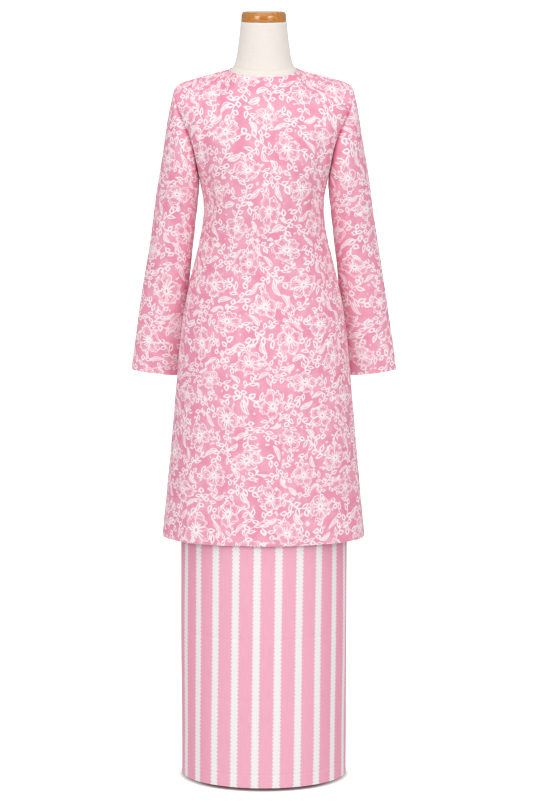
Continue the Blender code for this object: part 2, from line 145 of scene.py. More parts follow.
# Depth of the chest and of the upper back on the centre line
Rise = namedtuple("Rise", "z depth")
CENTRE_RISE = {
    -1: (
        Rise(1.3450, 0.1240),
        Rise(1.4000, 0.1150),
        Rise(1.4500, 0.0985),
        Rise(1.4850, 0.0800),
        Rise(1.5065, 0.0620),
    ),
    1: (
        Rise(1.3450, 0.1075),
        Rise(1.4000, 0.1035),
        Rise(1.4500, 0.0920),
        Rise(1.4950, 0.0740),
        Rise(1.5230, 0.0570),
    ),
}
Ring = namedtuple("Ring", "share inner_x inner_z outer_x outer_z front back centre_y")
SLEEVE_RINGS = (
    Ring(0.00, *UNDERARM, *SHOULDER_TIP, 0.0580, 0.0620, 0.000),
    Ring(0.10, 0.1358, 1.2740, 0.1985, 1.4310, 0.0620, 0.0640, 0.002),
    Ring(0.22, 0.1375, 1.2560, 0.2090, 1.3690, 0.0615, 0.0630, 0.005),
    Ring(0.36, 0.1408, 1.2250, 0.2215, 1.2920, 0.0580, 0.0600, 0.010),
    Ring(0.50, 0.1460, 1.1800, 0.2332, 1.2120, 0.0530, 0.0550, 0.017),
    Ring(0.65, 0.1545, 1.1040, 0.2467, 1.1220, 0.0460, 0.0480, 0.027),
    Ring(0.82, 0.1670, 0.9810, 0.2672, 0.9960, 0.0380, 0.0400, 0.038),
    Ring(1.00, 0.1795, 0.8640, 0.2838, 0.8760, 0.0310, 0.0310, 0.046),
)
SLEEVE_AXIS = np.array([-0.129, -0.092, 0.987])
SWAY_FADES_BY = 0.25
SLEEVE_LENGTH = 0.60  # about, along its outer line

# ---- sewing ----

TUNIC_HEM = 0.020  # depth of the turned hem, where its stitches are
SKIRT_HEM = 0.030
CUFF_HEM = 0.018
NECK_FACING = 0.025
LAYER_STEP = 0.001  # over this height the second layer ends
HEM_STAND = 0.0040  # the tunic's hem stands this much further out than its solid, but not at the side seams
HEM_STAND_FADE = 0.09
HEM_EXTRA = 0.0008  # the second layer inside a hem or behind the neckline
STITCH_SINK = 0.0004  # how far a line of stitches pulls the cloth in
STITCH_SINK_REACH = 0.0010
SEAM_DIP = 0.0009  # how far the cloth dips into a seam
SEAM_REACH = 0.0022
MITRE_LEAST = 0.2  # where two walls agree less than this about the way in, each goes its own way
# Depths of the crease at the armhole, and how far each reaches over the body and over the sleeve
ARMHOLE_FOLD = ((0.0045, 0.0180, 0.0100), (0.0065, 0.0032, 0.0032))
FOLD_DEPTH = {-1: 1.0, 1: 0.7}
FOLD_SHARES = (0.01, 0.15, 0.72, 0.94)  # of the way up, where it starts, is full, fades and is gone
FOLD_WAYS_LEAST = 0.5  # the crease is less deep where the walls' ways in add up to less than this
HEM_CLEARANCE = 0.0016  # the skirt's hem just clears the floor
STITCH_PITCH = 0.0034
STITCH_LENGTH = 0.0025
THREAD_RADIUS = 0.00022
THREAD_STATIONS = (-1.0, -0.7, 0.0, 0.7, 1.0)  # shares of half a stitch
THREAD_GIRTH = (0.25, 0.85, 1.0, 0.85, 0.25)
THREAD_SIDES = 6

# ---- soft folds: how far each rises or dips, the place of its middle and its reach ----

Fold = namedtuple("Fold", "rise at reach")
# Beside the armholes, across the cut, and the heights between which they grow and fade
CHEST_FOLDS = (
    Fold(-0.0026, 0.128, 0.013),
    Fold(-0.0022, -0.131, 0.012),
    Fold(0.0010, 0.106, 0.012),
    Fold(0.0010, -0.110, 0.012),
)
CHEST_HEIGHTS = (1.17, 1.27, 1.40, 1.47)
WAIST_HEIGHTS = (1.02, 1.12, 1.19, 1.27)
WAIST_SIDES = (0.05, 0.15)
FLUTE_HEIGHTS = (0.53, 0.98)  # where flutes are full, and where they are gone
# Down the front of the arm at the elbow, as shares of half the way round from its outer line
ELBOW_FOLDS = (Fold(-0.0014, -0.14, 0.06), Fold(-0.0010, 0.36, 0.07))
ELBOW_SHARE = 0.53  # of the way down the sleeve
ELBOW_REACH = 0.16
# Across the skirt, where it was pressed and folded away
SKIRT_CREASES = (Fold(-0.00060, 0.325, 0.0020), Fold(-0.00040, 0.190, 0.0020))

# ---- waves of the cloth: how far each rises, and its length ----

Ripple = namedtuple("Ripple", "rise length")
WAIST_DRAG = Ripple(0.0008, 0.036)
WAIST_DRAG_SLANT = 0.55
HEM_FLUTES = Ripple(0.0014, 0.172)
HEM_SMALL_FLUTES = Ripple(0.0008, 0.083)
HEM_FLARE = 0.0009  # the cloth stands out by this much at the hem, and less the higher it is
FLARE_POWER = 1.5
TUNIC_SWELL = Ripple(0.0005, 0.11)
ELBOW_BENDS = Ripple(0.0009, 0.052)  # lengths along a sleeve are shares of it
ELBOW_INNER = Fold(1.0, -0.42, 0.34)  # where they are, round the arm
SLEEVE_SWELL = Ripple(0.0006, 0.31)
SLEEVE_WAVES_FROM = (0.03, 0.12)
CUFF_CALM = 0.7  # share of a sleeve's waves that its cuff flattens
CUFF_CALM_FROM = (0.85, 0.97)
SKIRT_SWELL = Ripple(0.0007, 0.21)
SKIRT_GATHERS = Ripple(0.0009, 0.0125)
SKIRT_GATHERS_FROM = (0.97, 1.045)
CASING_GATHERS = (Ripple(0.0009, 0.0085), Ripple(0.0004, 1.63 * 0.0085))
CASING_LINES = (Fold(0.0006, 0.15, 0.05), Fold(0.0006, 0.85, 0.05))  # as shares of its height

# Rows that a hem, a cuff and a pressed crease need, as heights above the lower edge
HEM_EDGE = np.array([0.0006, 0.0015, 0.0030])
STITCH_ROWS = np.array([-0.0060, -0.0030, -0.0014, 0.0, 0.0014, 0.0030, 0.0060])
TUNIC_HEM_ROWS = np.concatenate([HEM_EDGE, TUNIC_HEM + STITCH_ROWS])
CUFF_ROWS = np.concatenate([HEM_EDGE, CUFF_HEM + STITCH_ROWS])
SKIRT_EXTRA_ROWS = np.concatenate(
    [HEM_EDGE, SKIRT_HEM + STITCH_ROWS, *(crease.at + 2 * STITCH_ROWS for crease in SKIRT_CREASES)]
)

# ---- where each panel is cut from the print and from the stripes ----

PRINT_PLACES = {
    "tunic_front_cloth": np.array([0.031, 0.012]),
    "tunic_back_cloth": np.array([0.517, 0.204]),
    "sleeve_left_cloth": np.array([1.043, 0.158]),
    "sleeve_right_cloth": np.array([1.611, 0.087]),
}
STRIPE_SHIFT = 0.0201  # a stripe's middle is this far from the middle of the front at the hem
STRIPE_LEAN = 0.0128  # and it leans this much, as the panel was cut a little off the grain

# ---- dress form ----

FORM_GAP = 0.0013
FORM_ARM_INSET = 0.0080
FORM_HIDDEN_INSET = 0.0050  # extra room under the cloth, which the eye doesn't see, and once more at the arms
HIDDEN_BELOW = (0.003, 0.035)  # from the neckline down
HIDDEN_BESIDE = (0.385, 0.55)  # shares of the way from the centre line to the side
HIDDEN_AT_ARM = (0.85, 1.0)
FORM_LOWER_ROWS = 8 * FINE
NECK_TOP_Z = 1.6178
NECK_TOP_RADIUS = 0.0486
NECK_ROWS = 7 * FINE
NECK_FLARE_SHARE = 0.5
NECK_FLARE_LENGTH = 0.115
NECK_TAPER_POWER = 1.15
NECK_SEAM_SHARE = 0.115  # where the neck's cover is sewn to the body's
NECK_SEAM_ROWS = NECK_SEAM_SHARE + np.array([-0.016, -0.008, 0.0, 0.008, 0.016])
NECK_SEAM_DEPTH = 0.0005
NECK_SEAM_REACH = 0.0012
CAP_VARNISH = 0.0010  # the finished cap is this much wider on each side than the bare solid
CAP_ROUNDING = (0.0060, 0.0110)  # inwards and downwards
CAP_FOOT_ROUNDING = 0.0015
CAP_FLAT_RINGS = 8
CAP_FLAT_MARGINS = (0.004, 0.002)  # left free in the middle and beside the rounding
CAP_ARC_POINTS = 13
TURNED_STEPS = 128


# ---- curves and grids ----


def smooth(stations, values, at):
    """A smooth curve through a table's rows, read at one place or several."""
    stations, values, at = (np.asarray(v, float) for v in (stations, values, at))
    step = np.diff(stations)
    slope = np.diff(values) / step
    inner = (slope[:-1] * step[1:] + slope[1:] * step[:-1]) / (step[:-1] + step[1:])
    tangent = np.concatenate([slope[:1], inner, slope[-1:]])
    k = np.clip(np.searchsorted(stations, at) - 1, 0, len(step) - 1)
    s = (at - stations[k]) / step[k]
    start = (1 + 2 * s) * (1 - s) ** 2 * values[k] + s * (1 - s) ** 2 * step[k] * tangent[k]
    end = s**2 * (3 - 2 * s) * values[k + 1] - s**2 * (1 - s) * step[k] * tangent[k + 1]
    return start + end


def column_of(table, field):
    return [getattr(row, field) for row in table]


def read(table, field, at, stations="z"):
    return smooth(column_of(table, stations), column_of(table, field), at)


def crowded(share, power):
    """Spaces shares from 0 to 1 so that, for a power above 1, they lie closer together near 1."""
    return 1 - (1 - share) ** power


def with_rows_at(shares, extra):
    """Grid rows with more of them where a hem or a crease needs them."""
    return np.unique(np.round(np.concatenate([shares, extra]), 6))


def bell(distance, reach):
    return np.exp(-((distance / reach) ** 2))


def ramp(value, low, high):
    """Rises smoothly from 0 at low to 1 at high."""
    t = np.clip((value - low) / (high - low), 0, 1)
    return t * t * (3 - 2 * t)


def between(value, low, full, fading, gone):
    """Rises smoothly from 0 at low to 1 at full, and falls back from fading to gone."""
    return ramp(value, low, full) * (1 - ramp(value, fading, gone))


def wave(turns):
    return np.sin(2 * math.pi * turns)


def rippled(ripple, place, shift=0.0):
    return ripple.rise * wave(place / ripple.length + shift)


def folds_at(table, place):
    return sum(fold.rise * bell(place - fold.at, fold.reach) for fold in table)


def sway(share):
    return read(ARMHOLE_SWAY, "outward", share, "share")


def armhole_point(angle, side):
    """A point of the seam, where angle 0 is the shoulder tip and pi the underarm."""
    share = (1 + math.cos(angle)) / 2
    x, z = UNDERARM + (SHOULDER_TIP - UNDERARM) * share
    return np.array([x + sway(share), side * ARMHOLE_DEPTH[side] * math.sin(angle), z])


def top_edge(side):
    """The neckline from the centre out, then the shoulder seam, with one point for each column."""
    centre_depth = CENTRE_RISE[side][-1].depth
    rise = NECK_SIDE_Z - NECK_CENTRE_Z[side]
    angle = np.linspace(0, math.pi / 2, CENTRE_COLUMNS + 1)
    neckline = [
        NECK_HALF_WIDTH * np.sin(angle),
        side * centre_depth * np.cos(angle),
        NECK_CENTRE_Z[side] + rise * (1 - np.cos(angle)),
    ]
    share = crowded(np.arange(1, SHOULDER_COLUMNS + 1) / SHOULDER_COLUMNS, SHOULDER_CROWDING)
    fall = SHOULDER_RISE * share + SHOULDER_TIP_DROP * share**SHOULDER_TIP_POWER
    x = NECK_HALF_WIDTH + (SHOULDER_TIP[0] - NECK_HALF_WIDTH) * share
    return np.concatenate([neckline, [x, np.zeros_like(x), NECK_SIDE_Z - fall]], axis=1).T


def section(side, centre_depth, centre_z, edge, turn, shares):
    """A row from the centre line to edge, an arc of an ellipse that has turned by turn at edge."""
    angles = turn * shares
    towards_centre = (np.cos(angles) - math.cos(turn)) / (1 - math.cos(turn))
    x = edge[0] * np.sin(angles) / math.sin(turn)
    y = edge[1] + (side * centre_depth - edge[1]) * towards_centre
    z = edge[2] + (centre_z - edge[2]) * towards_centre
    return np.stack([x, y, z], axis=1)


def body_half(levels, side, lower, hem_rise=0.0):
    """Outer points of half a front or a back, where lower holds its rows below the underarm."""
    shares = crowded(np.linspace(0, 1, COLUMNS + 1), COLUMN_CROWDING)
    rise = CENTRE_RISE[side]
    centre_z = column_of(levels, "z") + column_of(rise, "z")
    centre_depth = column_of(levels, "front" if side < 0 else "back") + column_of(rise, "depth")
    bottom, top = levels[0].z, levels[-1].z
    rows = []
    for climbed in lower:
        z = bottom + (top - bottom) * climbed
        edge = (float(read(levels, "half_width", z)), 0.0, z)
        row = section(side, float(smooth(centre_z, centre_depth, z)), z, edge, SIDE_TURN, shares)
        row[:, 2] += hem_rise * (1 - climbed) ** 2 * np.cos(SIDE_TURN * shares) ** 2
        rows.append(row)
    neck = top_edge(side)
    tip = armhole_point(0, side)
    lift = neck - section(side, abs(neck[0][1]), neck[0][2], tip, SHOULDER_TURN, shares)
    for climbed in np.linspace(0, 1, ARMHOLE_ROWS + 1):
        z = top + (NECK_CENTRE_Z[side] - top) * climbed
        edge = armhole_point(math.pi * (1 - climbed), side)
        turn = SIDE_TURN + (SHOULDER_TURN - SIDE_TURN) * climbed
        row = section(side, float(smooth(centre_z, centre_depth, z)), z, edge, turn, shares)
        rows.append(row + lift * climbed**TOP_ROW_POWER)
    return np.array(rows)


def sleeve_points():
    """Rings of the sleeve at x > 0, from the cuff up, each from the underarm round the front and back."""
    extra = np.concatenate([SLEEVE_TOP_ROWS, 1 - CUFF_ROWS / SLEEVE_LENGTH])
    shares = with_rows_at(np.linspace(0, 1, SLEEVE_ROWS + 1), extra)[::-1]
    inner_x, inner_z, outer_x, outer_z, front, back, centre_y = (
        read(SLEEVE_RINGS, field, shares, "share")[:, None] for field in Ring._fields[1:]
    )
    angle = math.pi * (1 - np.arange(2 * ARMHOLE_ROWS) / ARMHOLE_ROWS)[None]
    outwards = (1 + np.cos(angle)) / 2
    sway_left = np.maximum(0.0, 1 - shares[:, None] / SWAY_FADES_BY)
    x = inner_x + (outer_x - inner_x) * outwards + sway_left * sway(outwards)
    y = centre_y + np.where(angle >= 0, -front, back) * abs(np.sin(angle))
    z = inner_z + (outer_z - inner_z) * outwards
    return np.stack([x, y, z], axis=2), shares


def tube_half(levels, side, heights):
    """Half a front or back panel of a tube that is open at both ends."""
    shares = with_rows_at(np.linspace(0, 1, SKIRT_COLUMNS + 1), SKIRT_SIDE_COLUMNS)
    half_widths = read(levels, "half_width", heights)
    depths = read(levels, "front" if side < 0 else "back", heights)
    return np.array(
        [section(side, depth, z, (half_width, 0.0, z), SIDE_TURN, shares)
         for half_width, depth, z in zip(half_widths, depths, heights)]
    )


# ---- from outer points to cloth ----


def key(point):
    """A point's name in a table of points, the same wherever grids meet."""
    return tuple(np.round(point, 6))


def joint_normals(*sheets):
    """Outward normals at the points of sheets, shared where these meet. A sheet is (points, sign, ring)."""
    total = {}
    for points, sign, ring in sheets:
        rows, columns = points.shape[:2]
        for j in range(rows - 1):
            for i in range(columns if ring else columns - 1):
                after = (i + 1) % columns
                corners = points[j, i], points[j, after], points[j + 1, after], points[j + 1, i]
                normal = sign * np.cross(corners[2] - corners[0], corners[3] - corners[1])
                for corner in corners:
                    total[key(corner)] = total.get(key(corner), 0.0) + normal
    unit = {k: n / np.linalg.norm(n) for k, n in total.items()}
    return [np.array([[unit[key(p)] for p in row] for row in points]) for points, _, _ in sheets]


def mitred(own, other):
    """The ways in along a seam, so that two walls meet face to face. In a deep valley each has its own."""
    agreement = np.sum(own * other, axis=1, keepdims=True)
    return np.where(agreement > MITRE_LEAST, (own + other) / (1 + agreement), own)


def both_halves(half):
    """A whole panel from its half at x > 0, its columns running from -x to +x."""
    other = half[:, :0:-1] * np.array([-1, 1, 1])
    return np.concatenate([other, half], axis=1)


def closed_ring(points):
    """A tube's grid with its first column once more at the end."""
    return np.concatenate([points, points[:, :1]], axis=1)


def summed_from(middle, steps):
    """Lengths across each row, from its middle column."""
    u = np.concatenate([np.zeros((len(steps), 1)), np.cumsum(steps, axis=1)], axis=1)
    return u - u[:, middle : middle + 1]


def cut_of(points, middle):
    """Lengths over the cloth, as it was cut: across each row from its middle column, and up."""
    u = summed_from(middle, np.linalg.norm(np.diff(points, axis=1), axis=2))
    up = np.linalg.norm(np.diff(points, axis=0), axis=2) ** 2
    climb = np.maximum(up - np.diff(u, axis=0) ** 2, up / 4)
    v = np.cumsum(np.sqrt(climb), axis=0)
    return np.stack([u, np.concatenate([np.zeros((1, v.shape[1])), v])], axis=2)


def tube_cut_of(points, middle, axis):
    """The cut of a nearly straight tube, unrolled about its axis."""
    steps = np.diff(points, axis=1)
    u = summed_from(middle, np.linalg.norm(steps - (steps @ axis)[..., None] * axis, axis=2))
    along = points @ axis
    return np.stack([u, along - along.min()], axis=2)


def placed(data, name):
    """Puts a mesh, a light or a camera in the scene."""
    thing = bpy.data.objects.new(name, data)
    bpy.context.scene.collection.objects.link(thing)
    return thing


def finished(name, mesh, materials, replaced=None, sharp=math.radians(50)):
    """Turns a mesh's faces outwards, shades it and makes it a piece that rides on the body."""
    bm = bmesh.new()
    bm.from_mesh(mesh)
    bmesh.ops.recalc_face_normals(bm, faces=bm.faces)
    bm.to_mesh(mesh)
    bm.free()
    mesh.shade_smooth()
    mesh.set_sharp_from_angle(angle=sharp)
    for material in materials:
        mesh.materials.append(material)
    piece = placed(mesh, name)
    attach(piece, BODY)
    if replaced:
        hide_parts(replaced)
    return piece


def wall(name, outer, inner, cut, looks, cloth, ring=False):
    """A cloth wall between outer and inner points, with the cut as its UV map and its wrong side inside."""
    rows, columns = outer.shape[:2]
    corners, uvs, sides = [], [], []

    def quads(places, side):
        """Faces between four arrays of (face, row, column)."""
        numbers = [(f * rows + j) * columns + i % columns for f, j, i in places]
        corners.append(np.stack(numbers, axis=-1))
        uvs.append(np.stack([cut[j, i] for _, j, i in places], axis=-2))
        sides.append(np.full(corners[-1].size // 4, side))

    j, i = np.mgrid[0 : rows - 1, 0 : columns if ring else columns - 1]
    for face in (0, 1):
        quads([(face, j, i), (face, j, i + 1), (face, j + 1, i + 1), (face, j + 1, i)], face)
    across, up = i[0], j[:, 0]
    for end in (0, rows - 1):
        row = np.full_like(across, end)
        quads([(0, row, across), (0, row, across + 1), (1, row, across + 1), (1, row, across)], 0)
    for end in () if ring else (0, columns - 1):
        column = np.full_like(up, end)
        quads([(0, up, column), (0, up + 1, column), (1, up + 1, column), (1, up, column)], 0)
    mesh = bpy.data.meshes.new(name)
    points = np.concatenate([outer.reshape(-1, 3), inner.reshape(-1, 3)])
    faces = np.concatenate([c.reshape(-1, 4) for c in corners])
    mesh.from_pydata(points.tolist(), [], faces.tolist())
    layer = mesh.uv_layers.new(name="Cut")
    layer.data.foreach_set("uv", np.concatenate([uv.reshape(-1) for uv in uvs]))
    mesh.polygons.foreach_set("material_index", np.concatenate(sides))
    return finished(name, mesh, looks[cloth], name.removesuffix("_cloth"))


def stitches(name, line, outward, looks):
    """Raised threads along a line of points with its outward ways, each a spindle half sunk in the cloth."""
    stations = np.array(THREAD_STATIONS) * STITCH_LENGTH / 2
    girth = np.array(THREAD_GIRTH) * THREAD_RADIUS
    sides, last = THREAD_SIDES, len(stations) - 1
    turn = 2 * math.pi * np.arange(sides) / sides
    run = np.concatenate([[0], np.cumsum(np.linalg.norm(np.diff(line, axis=0), axis=1))])
    count = int(run[-1] / STITCH_PITCH)
    places = (np.arange(count) + 0.5) / count * run[-1]
    centre, ahead, out = (
        np.stack([np.interp(at, run, source[:, axis]) for axis in range(3)], axis=1)
        for at, source in ((places, line), (places + STITCH_LENGTH / 4, line), (places, outward))
    )
    along = (ahead - centre) / np.linalg.norm(ahead - centre, axis=1, keepdims=True)
    across = np.cross(out, along)
    centre, along, across, out = (part[:, None, None] for part in (centre, along, across, out))
    rounds = across * np.cos(turn)[:, None] + out * np.sin(turn)[:, None]
    points = centre + along * stations[:, None, None] + girth[:, None, None] * rounds
    spindle = []
    for low in range(0, last * sides, sides):
        for s, after in zip(range(sides), (*range(1, sides), 0)):
            spindle.append((low + s, low + after, low + sides + after, low + sides + s))
    spindle += [range(sides), range(last * sides, (last + 1) * sides)]
    size = len(stations) * sides
    faces = [[size * thread + corner for corner in face] for thread in range(count) for face in spindle]
    mesh = bpy.data.meshes.new(name)
    mesh.from_pydata(points.reshape(-1, 3).tolist(), [], faces)
    return finished(name, mesh, looks["thread"])


def sewn_piece(name, outer, normals, cut, layers, seams, hem, looks, cloth, ring=False):
    """A piece of cloth from its outer points: a wall, pulled back at its seams, and its hem's stitches.

    A hem is the word for it and its row.
    """
    inner = outer - normals * (CLOTH + HEM_EXTRA * layers)[..., None]
    for face in (outer, inner):
        for seam, beside in seams:
            way = face[beside] - face[seam]
            face[seam] += SEAM_PULLBACK * way / np.linalg.norm(way, axis=-1, keepdims=True)
    piece = wall(name, outer, inner, cut, looks, cloth, ring)
    word, row = hem
    line, outward = (closed_ring(grid)[row] if ring else grid[row] for grid in (outer, normals))
    thread = stitches(name.replace("cloth", f"{word}_stitches"), line, outward, looks)


# ---- creases, as offsets along the normals ----

# What is added to a place shifts a wave, so that no two pieces move alike


def tunic_relief(side, points, cut):
    """Soft troughs beside the armholes, drag at the waist and slight flutes down to the hem."""
    u, z = cut[..., 0], points[..., 2]
    relief = between(z, *CHEST_HEIGHTS) * folds_at(CHEST_FOLDS, u)
    waist = between(z, *WAIST_HEIGHTS) * ramp(abs(u), *WAIST_SIDES)
    relief += waist * rippled(WAIST_DRAG, z + WAIST_DRAG_SLANT * abs(u))
    flutes = rippled(HEM_FLUTES, u, 0.13 * side + 0.2) + rippled(HEM_SMALL_FLUTES, u, 0.31)
    relief += (1 - ramp(z, *FLUTE_HEIGHTS)) ** FLARE_POWER * (HEM_FLARE + flutes)
    return relief + rippled(TUNIC_SWELL, u, z / 0.23) * wave(z / 0.17 + 0.3)


def sleeve_relief(flip, around, share):
    """Two long troughs down the front of the arm and short creases in the bend of the elbow."""
    bends = folds_at([ELBOW_INNER], around) * rippled(ELBOW_BENDS, share, 0.25 * flip + 0.6 * around)
    relief = bell(share - ELBOW_SHARE, ELBOW_REACH) * (folds_at(ELBOW_FOLDS, around) + bends)
    relief += rippled(SLEEVE_SWELL, share, 1.3 * around + 0.17 * flip)
    return relief * ramp(share, *SLEEVE_WAVES_FROM) * (1 - CUFF_CALM * ramp(share, *CUFF_CALM_FROM))


def skirt_relief(side, points, cut):
    """Pressed creases, the slow waves of cloth that hangs straight, and gathers under the waistband."""
    u, z = cut[..., 0], points[..., 2]
    relief = folds_at(SKIRT_CREASES, z) + ramp(z, *SKIRT_GATHERS_FROM) * rippled(SKIRT_GATHERS, u)
    return relief + ramp(z, 0.0, 0.12) * rippled(SKIRT_SWELL, u, 0.2 * side) * wave(z / 0.47 + 0.1)


def armhole_fold(ways):
    """How the crease at the armhole draws in the cloth, at each point from the underarm to the shoulder."""
    share = (1 - np.cos(np.linspace(0, math.pi, len(ways)))) / 2
    depth = between(share, *FOLD_SHARES)[:, None]
    return -depth * ways / np.maximum(np.linalg.norm(ways, axis=1, keepdims=True), FOLD_WAYS_LEAST)


def fold_at(distance, on_sleeve):
    """How deep the crease at the armhole is this far from the seam."""
    return sum(depth * bell(distance, reaches[on_sleeve]) for depth, *reaches in ARMHOLE_FOLD)[..., None]


def seam_dip(distance):
    return -SEAM_DIP * bell(distance, SEAM_REACH)


def stitch_dip(height, line):
    return -STITCH_SINK * bell(height - line, STITCH_SINK_REACH)


def layer_below(height, line):
    """1 where a turned hem has its second layer."""
    return 1 - ramp(height, line - LAYER_STEP, line)


# ---- the pieces ----

# Where the points of each seam are in a piece's grid, and the points beside them
SIDE_SEAMS = ((np.s_[:, 0], np.s_[:, 1]), (np.s_[:, -1], np.s_[:, -2]))
# Both parts of the shoulder, left and right of the neckline
SHOULDER_SEAMS = tuple(
    (np.s_[-1, part], np.s_[-2, part]) for part in (np.s_[: NECKLINE.start + 1], np.s_[NECKLINE.stop - 1 :])
)
ARMHOLE_SEAM = ((np.s_[-1], np.s_[-2]),)


def row_at(heights, height):
    """The number of the row that is nearest to a height."""
    return int(np.argmin(np.abs(heights - height)))


def tunic(looks):
    """The front, the back and two sleeves, whose walls meet along the armholes."""
    bottom, top = TUNIC_LEVELS[0].z, TUNIC_LEVELS[-1].z
    plain_rows = crowded(np.arange(LOWER_ROWS) / LOWER_ROWS, ROW_CROWDING)
    lower = with_rows_at(plain_rows, TUNIC_HEM_ROWS / (top - bottom))
    halves = {side: body_half(TUNIC_LEVELS, side, lower, HEM_RISE) for side in (-1, 1)}
    normals = dict(zip((-1, 1), joint_normals((halves[-1], 1, False), (halves[1], -1, False))))
    sleeve, shares = sleeve_points()
    (sleeve_normals,) = joint_normals((sleeve, 1, True))
    ring_ways = sleeve_normals[-1].copy()
    ring_fold = np.zeros_like(ring_ways)
    hem_row = row_at(lower * (top - bottom), TUNIC_HEM)
    folds = {}
    for side in (-1, 1):
        steps = -side * np.arange(ARMHOLE_ROWS + 1) % (2 * ARMHOLE_ROWS)
        edge = np.s_[len(lower) :, -1]
        edge_ways = normals[side][edge].copy()
        folds[side] = FOLD_DEPTH[side] * armhole_fold(edge_ways + ring_ways[steps])
        ring_fold[steps] = folds[side]
        normals[side][edge] = mitred(edge_ways, ring_ways[steps])
        sleeve_normals[-1, steps] = mitred(ring_ways[steps], edge_ways)
    for side, name in ((-1, "tunic_front_cloth"), (1, "tunic_back_cloth")):
        panel = both_halves(halves[side]), both_halves(normals[side])
        tunic_panel(name, side, *panel, folds[side], hem_row, looks)
    # The wearer's left sleeve is at x > 0
    for name, flip in (("sleeve_left_cloth", 1), ("sleeve_right_cloth", -1)):
        sleeve_panel(name, flip, sleeve, sleeve_normals, ring_fold, shares, looks)


def tunic_panel(name, side, points, normals, fold, hem_row, looks):
    """The front or the back, creased beside its armholes, with a facing at the neck and a turned hem."""
    cut = cut_of(points, COLUMNS)
    u, v = cut[..., 0], cut[..., 1]
    to_side = np.abs(u[:, -1:]) - np.abs(u)
    to_neck = np.linalg.norm(points[:, :, None] - points[-1, NECKLINE][None, None], axis=-1).min(axis=-1)
    on_shoulder = np.ones(points.shape[1])
    on_shoulder[NECKLINE] = 0.0
    relief = tunic_relief(side, points, cut) + seam_dip(to_side) + on_shoulder * seam_dip(v[-1] - v)
    relief += stitch_dip(v, TUNIC_HEM) + seam_dip(to_neck) / 3
    relief += HEM_STAND * (1 - ramp(v, 0.0, HEM_STAND_FADE)) * ramp(to_side, 0.0, HEM_STAND_FADE)
    layers = layer_below(v, TUNIC_HEM) + layer_below(to_neck, NECK_FACING)
    outer = points + normals * relief[..., None]
    facing = np.sign(u[-1])[None, :, None] * np.array([1, 0, 0]) + np.array([0, 1, 1])
    beside_armhole = np.s_[-len(fold) :]
    outer[beside_armhole] += fold[:, None] * facing * fold_at(to_side[beside_armhole], False)
    cut = cut * np.array([-side, 1]) + PRINT_PLACES[name]
    sewn_piece(name, outer, normals, cut, layers, SHOULDER_SEAMS + SIDE_SEAMS, ("hem", hem_row), looks,
               "printed")


def sleeve_panel(name, flip, points, normals, fold, shares, looks):
    """A sleeve: one panel round the arm, seamed along its inner side, with a turned cuff."""
    mirror = np.array([flip, 1, 1])
    points, normals, fold = points * mirror, normals * mirror, fold * mirror
    cut = cut_of(closed_ring(points), ARMHOLE_ROWS)
    u, v = cut[:, :-1, 0], cut[:, :-1, 1]
    around = (np.arange(2 * ARMHOLE_ROWS) / ARMHOLE_ROWS - 1)[None]
    to_seam = np.minimum(u - u[:, :1], cut[:, -1:, 0] - u)
    to_armhole = v[-1] - v
    relief = sleeve_relief(flip, around, shares[:, None]) + seam_dip(to_seam) + seam_dip(to_armhole)
    relief += stitch_dip(v, CUFF_HEM)
    outer = points + normals * relief[..., None] + fold * fold_at(to_armhole, True)
    cut = tube_cut_of(closed_ring(points), ARMHOLE_ROWS, SLEEVE_AXIS * mirror) * np.array([flip, 1])
    cut += PRINT_PLACES[name]
    cuff = "cuff", row_at(v[:, ARMHOLE_ROWS], CUFF_HEM)
    sewn_piece(name, outer, normals, cut, layer_below(v, CUFF_HEM), ARMHOLE_SEAM, cuff, looks,
               "printed", ring=True)


def skirt(looks):
    """The front and the back, joined at the sides, and the waistband that they hang from."""
    heights = with_rows_at(np.linspace(0, SKIRT_LEVELS[-1].z, SKIRT_ROWS + 1), SKIRT_EXTRA_ROWS)
    hem = "hem", row_at(heights, SKIRT_HEM)
    front, back = (tube_half(SKIRT_LEVELS, side, heights) for side in (-1, 1))
    names = "skirt_front_cloth", "skirt_back_cloth"
    ways = joint_normals((front, 1, False), (back, -1, False))
    for name, side, half, normals in zip(names, (-1, 1), (front, back), ways):
        normals[..., 2] = 0.0
        points, normals = both_halves(half), both_halves(normals)
        cut = cut_of(points, half.shape[1] - 1)
        u, v = cut[..., 0], cut[..., 1]
        relief = skirt_relief(side, points, cut) + seam_dip(np.abs(u[:, -1:]) - np.abs(u))
        relief += stitch_dip(v, SKIRT_HEM)
        outer = points + normals * relief[..., None]
        outer[..., 2] += HEM_CLEARANCE * (1 - ramp(v, 0.0, SKIRT_HEM))
        cut = cut * np.array([-side, 1])
        cut[..., 0] += STRIPE_SHIFT - STRIPE_LEAN * cut[..., 1]
        sewn_piece(name, outer, normals, cut, layer_below(v, SKIRT_HEM), SIDE_SEAMS, hem, looks,
                   "striped")
    waistband(looks)


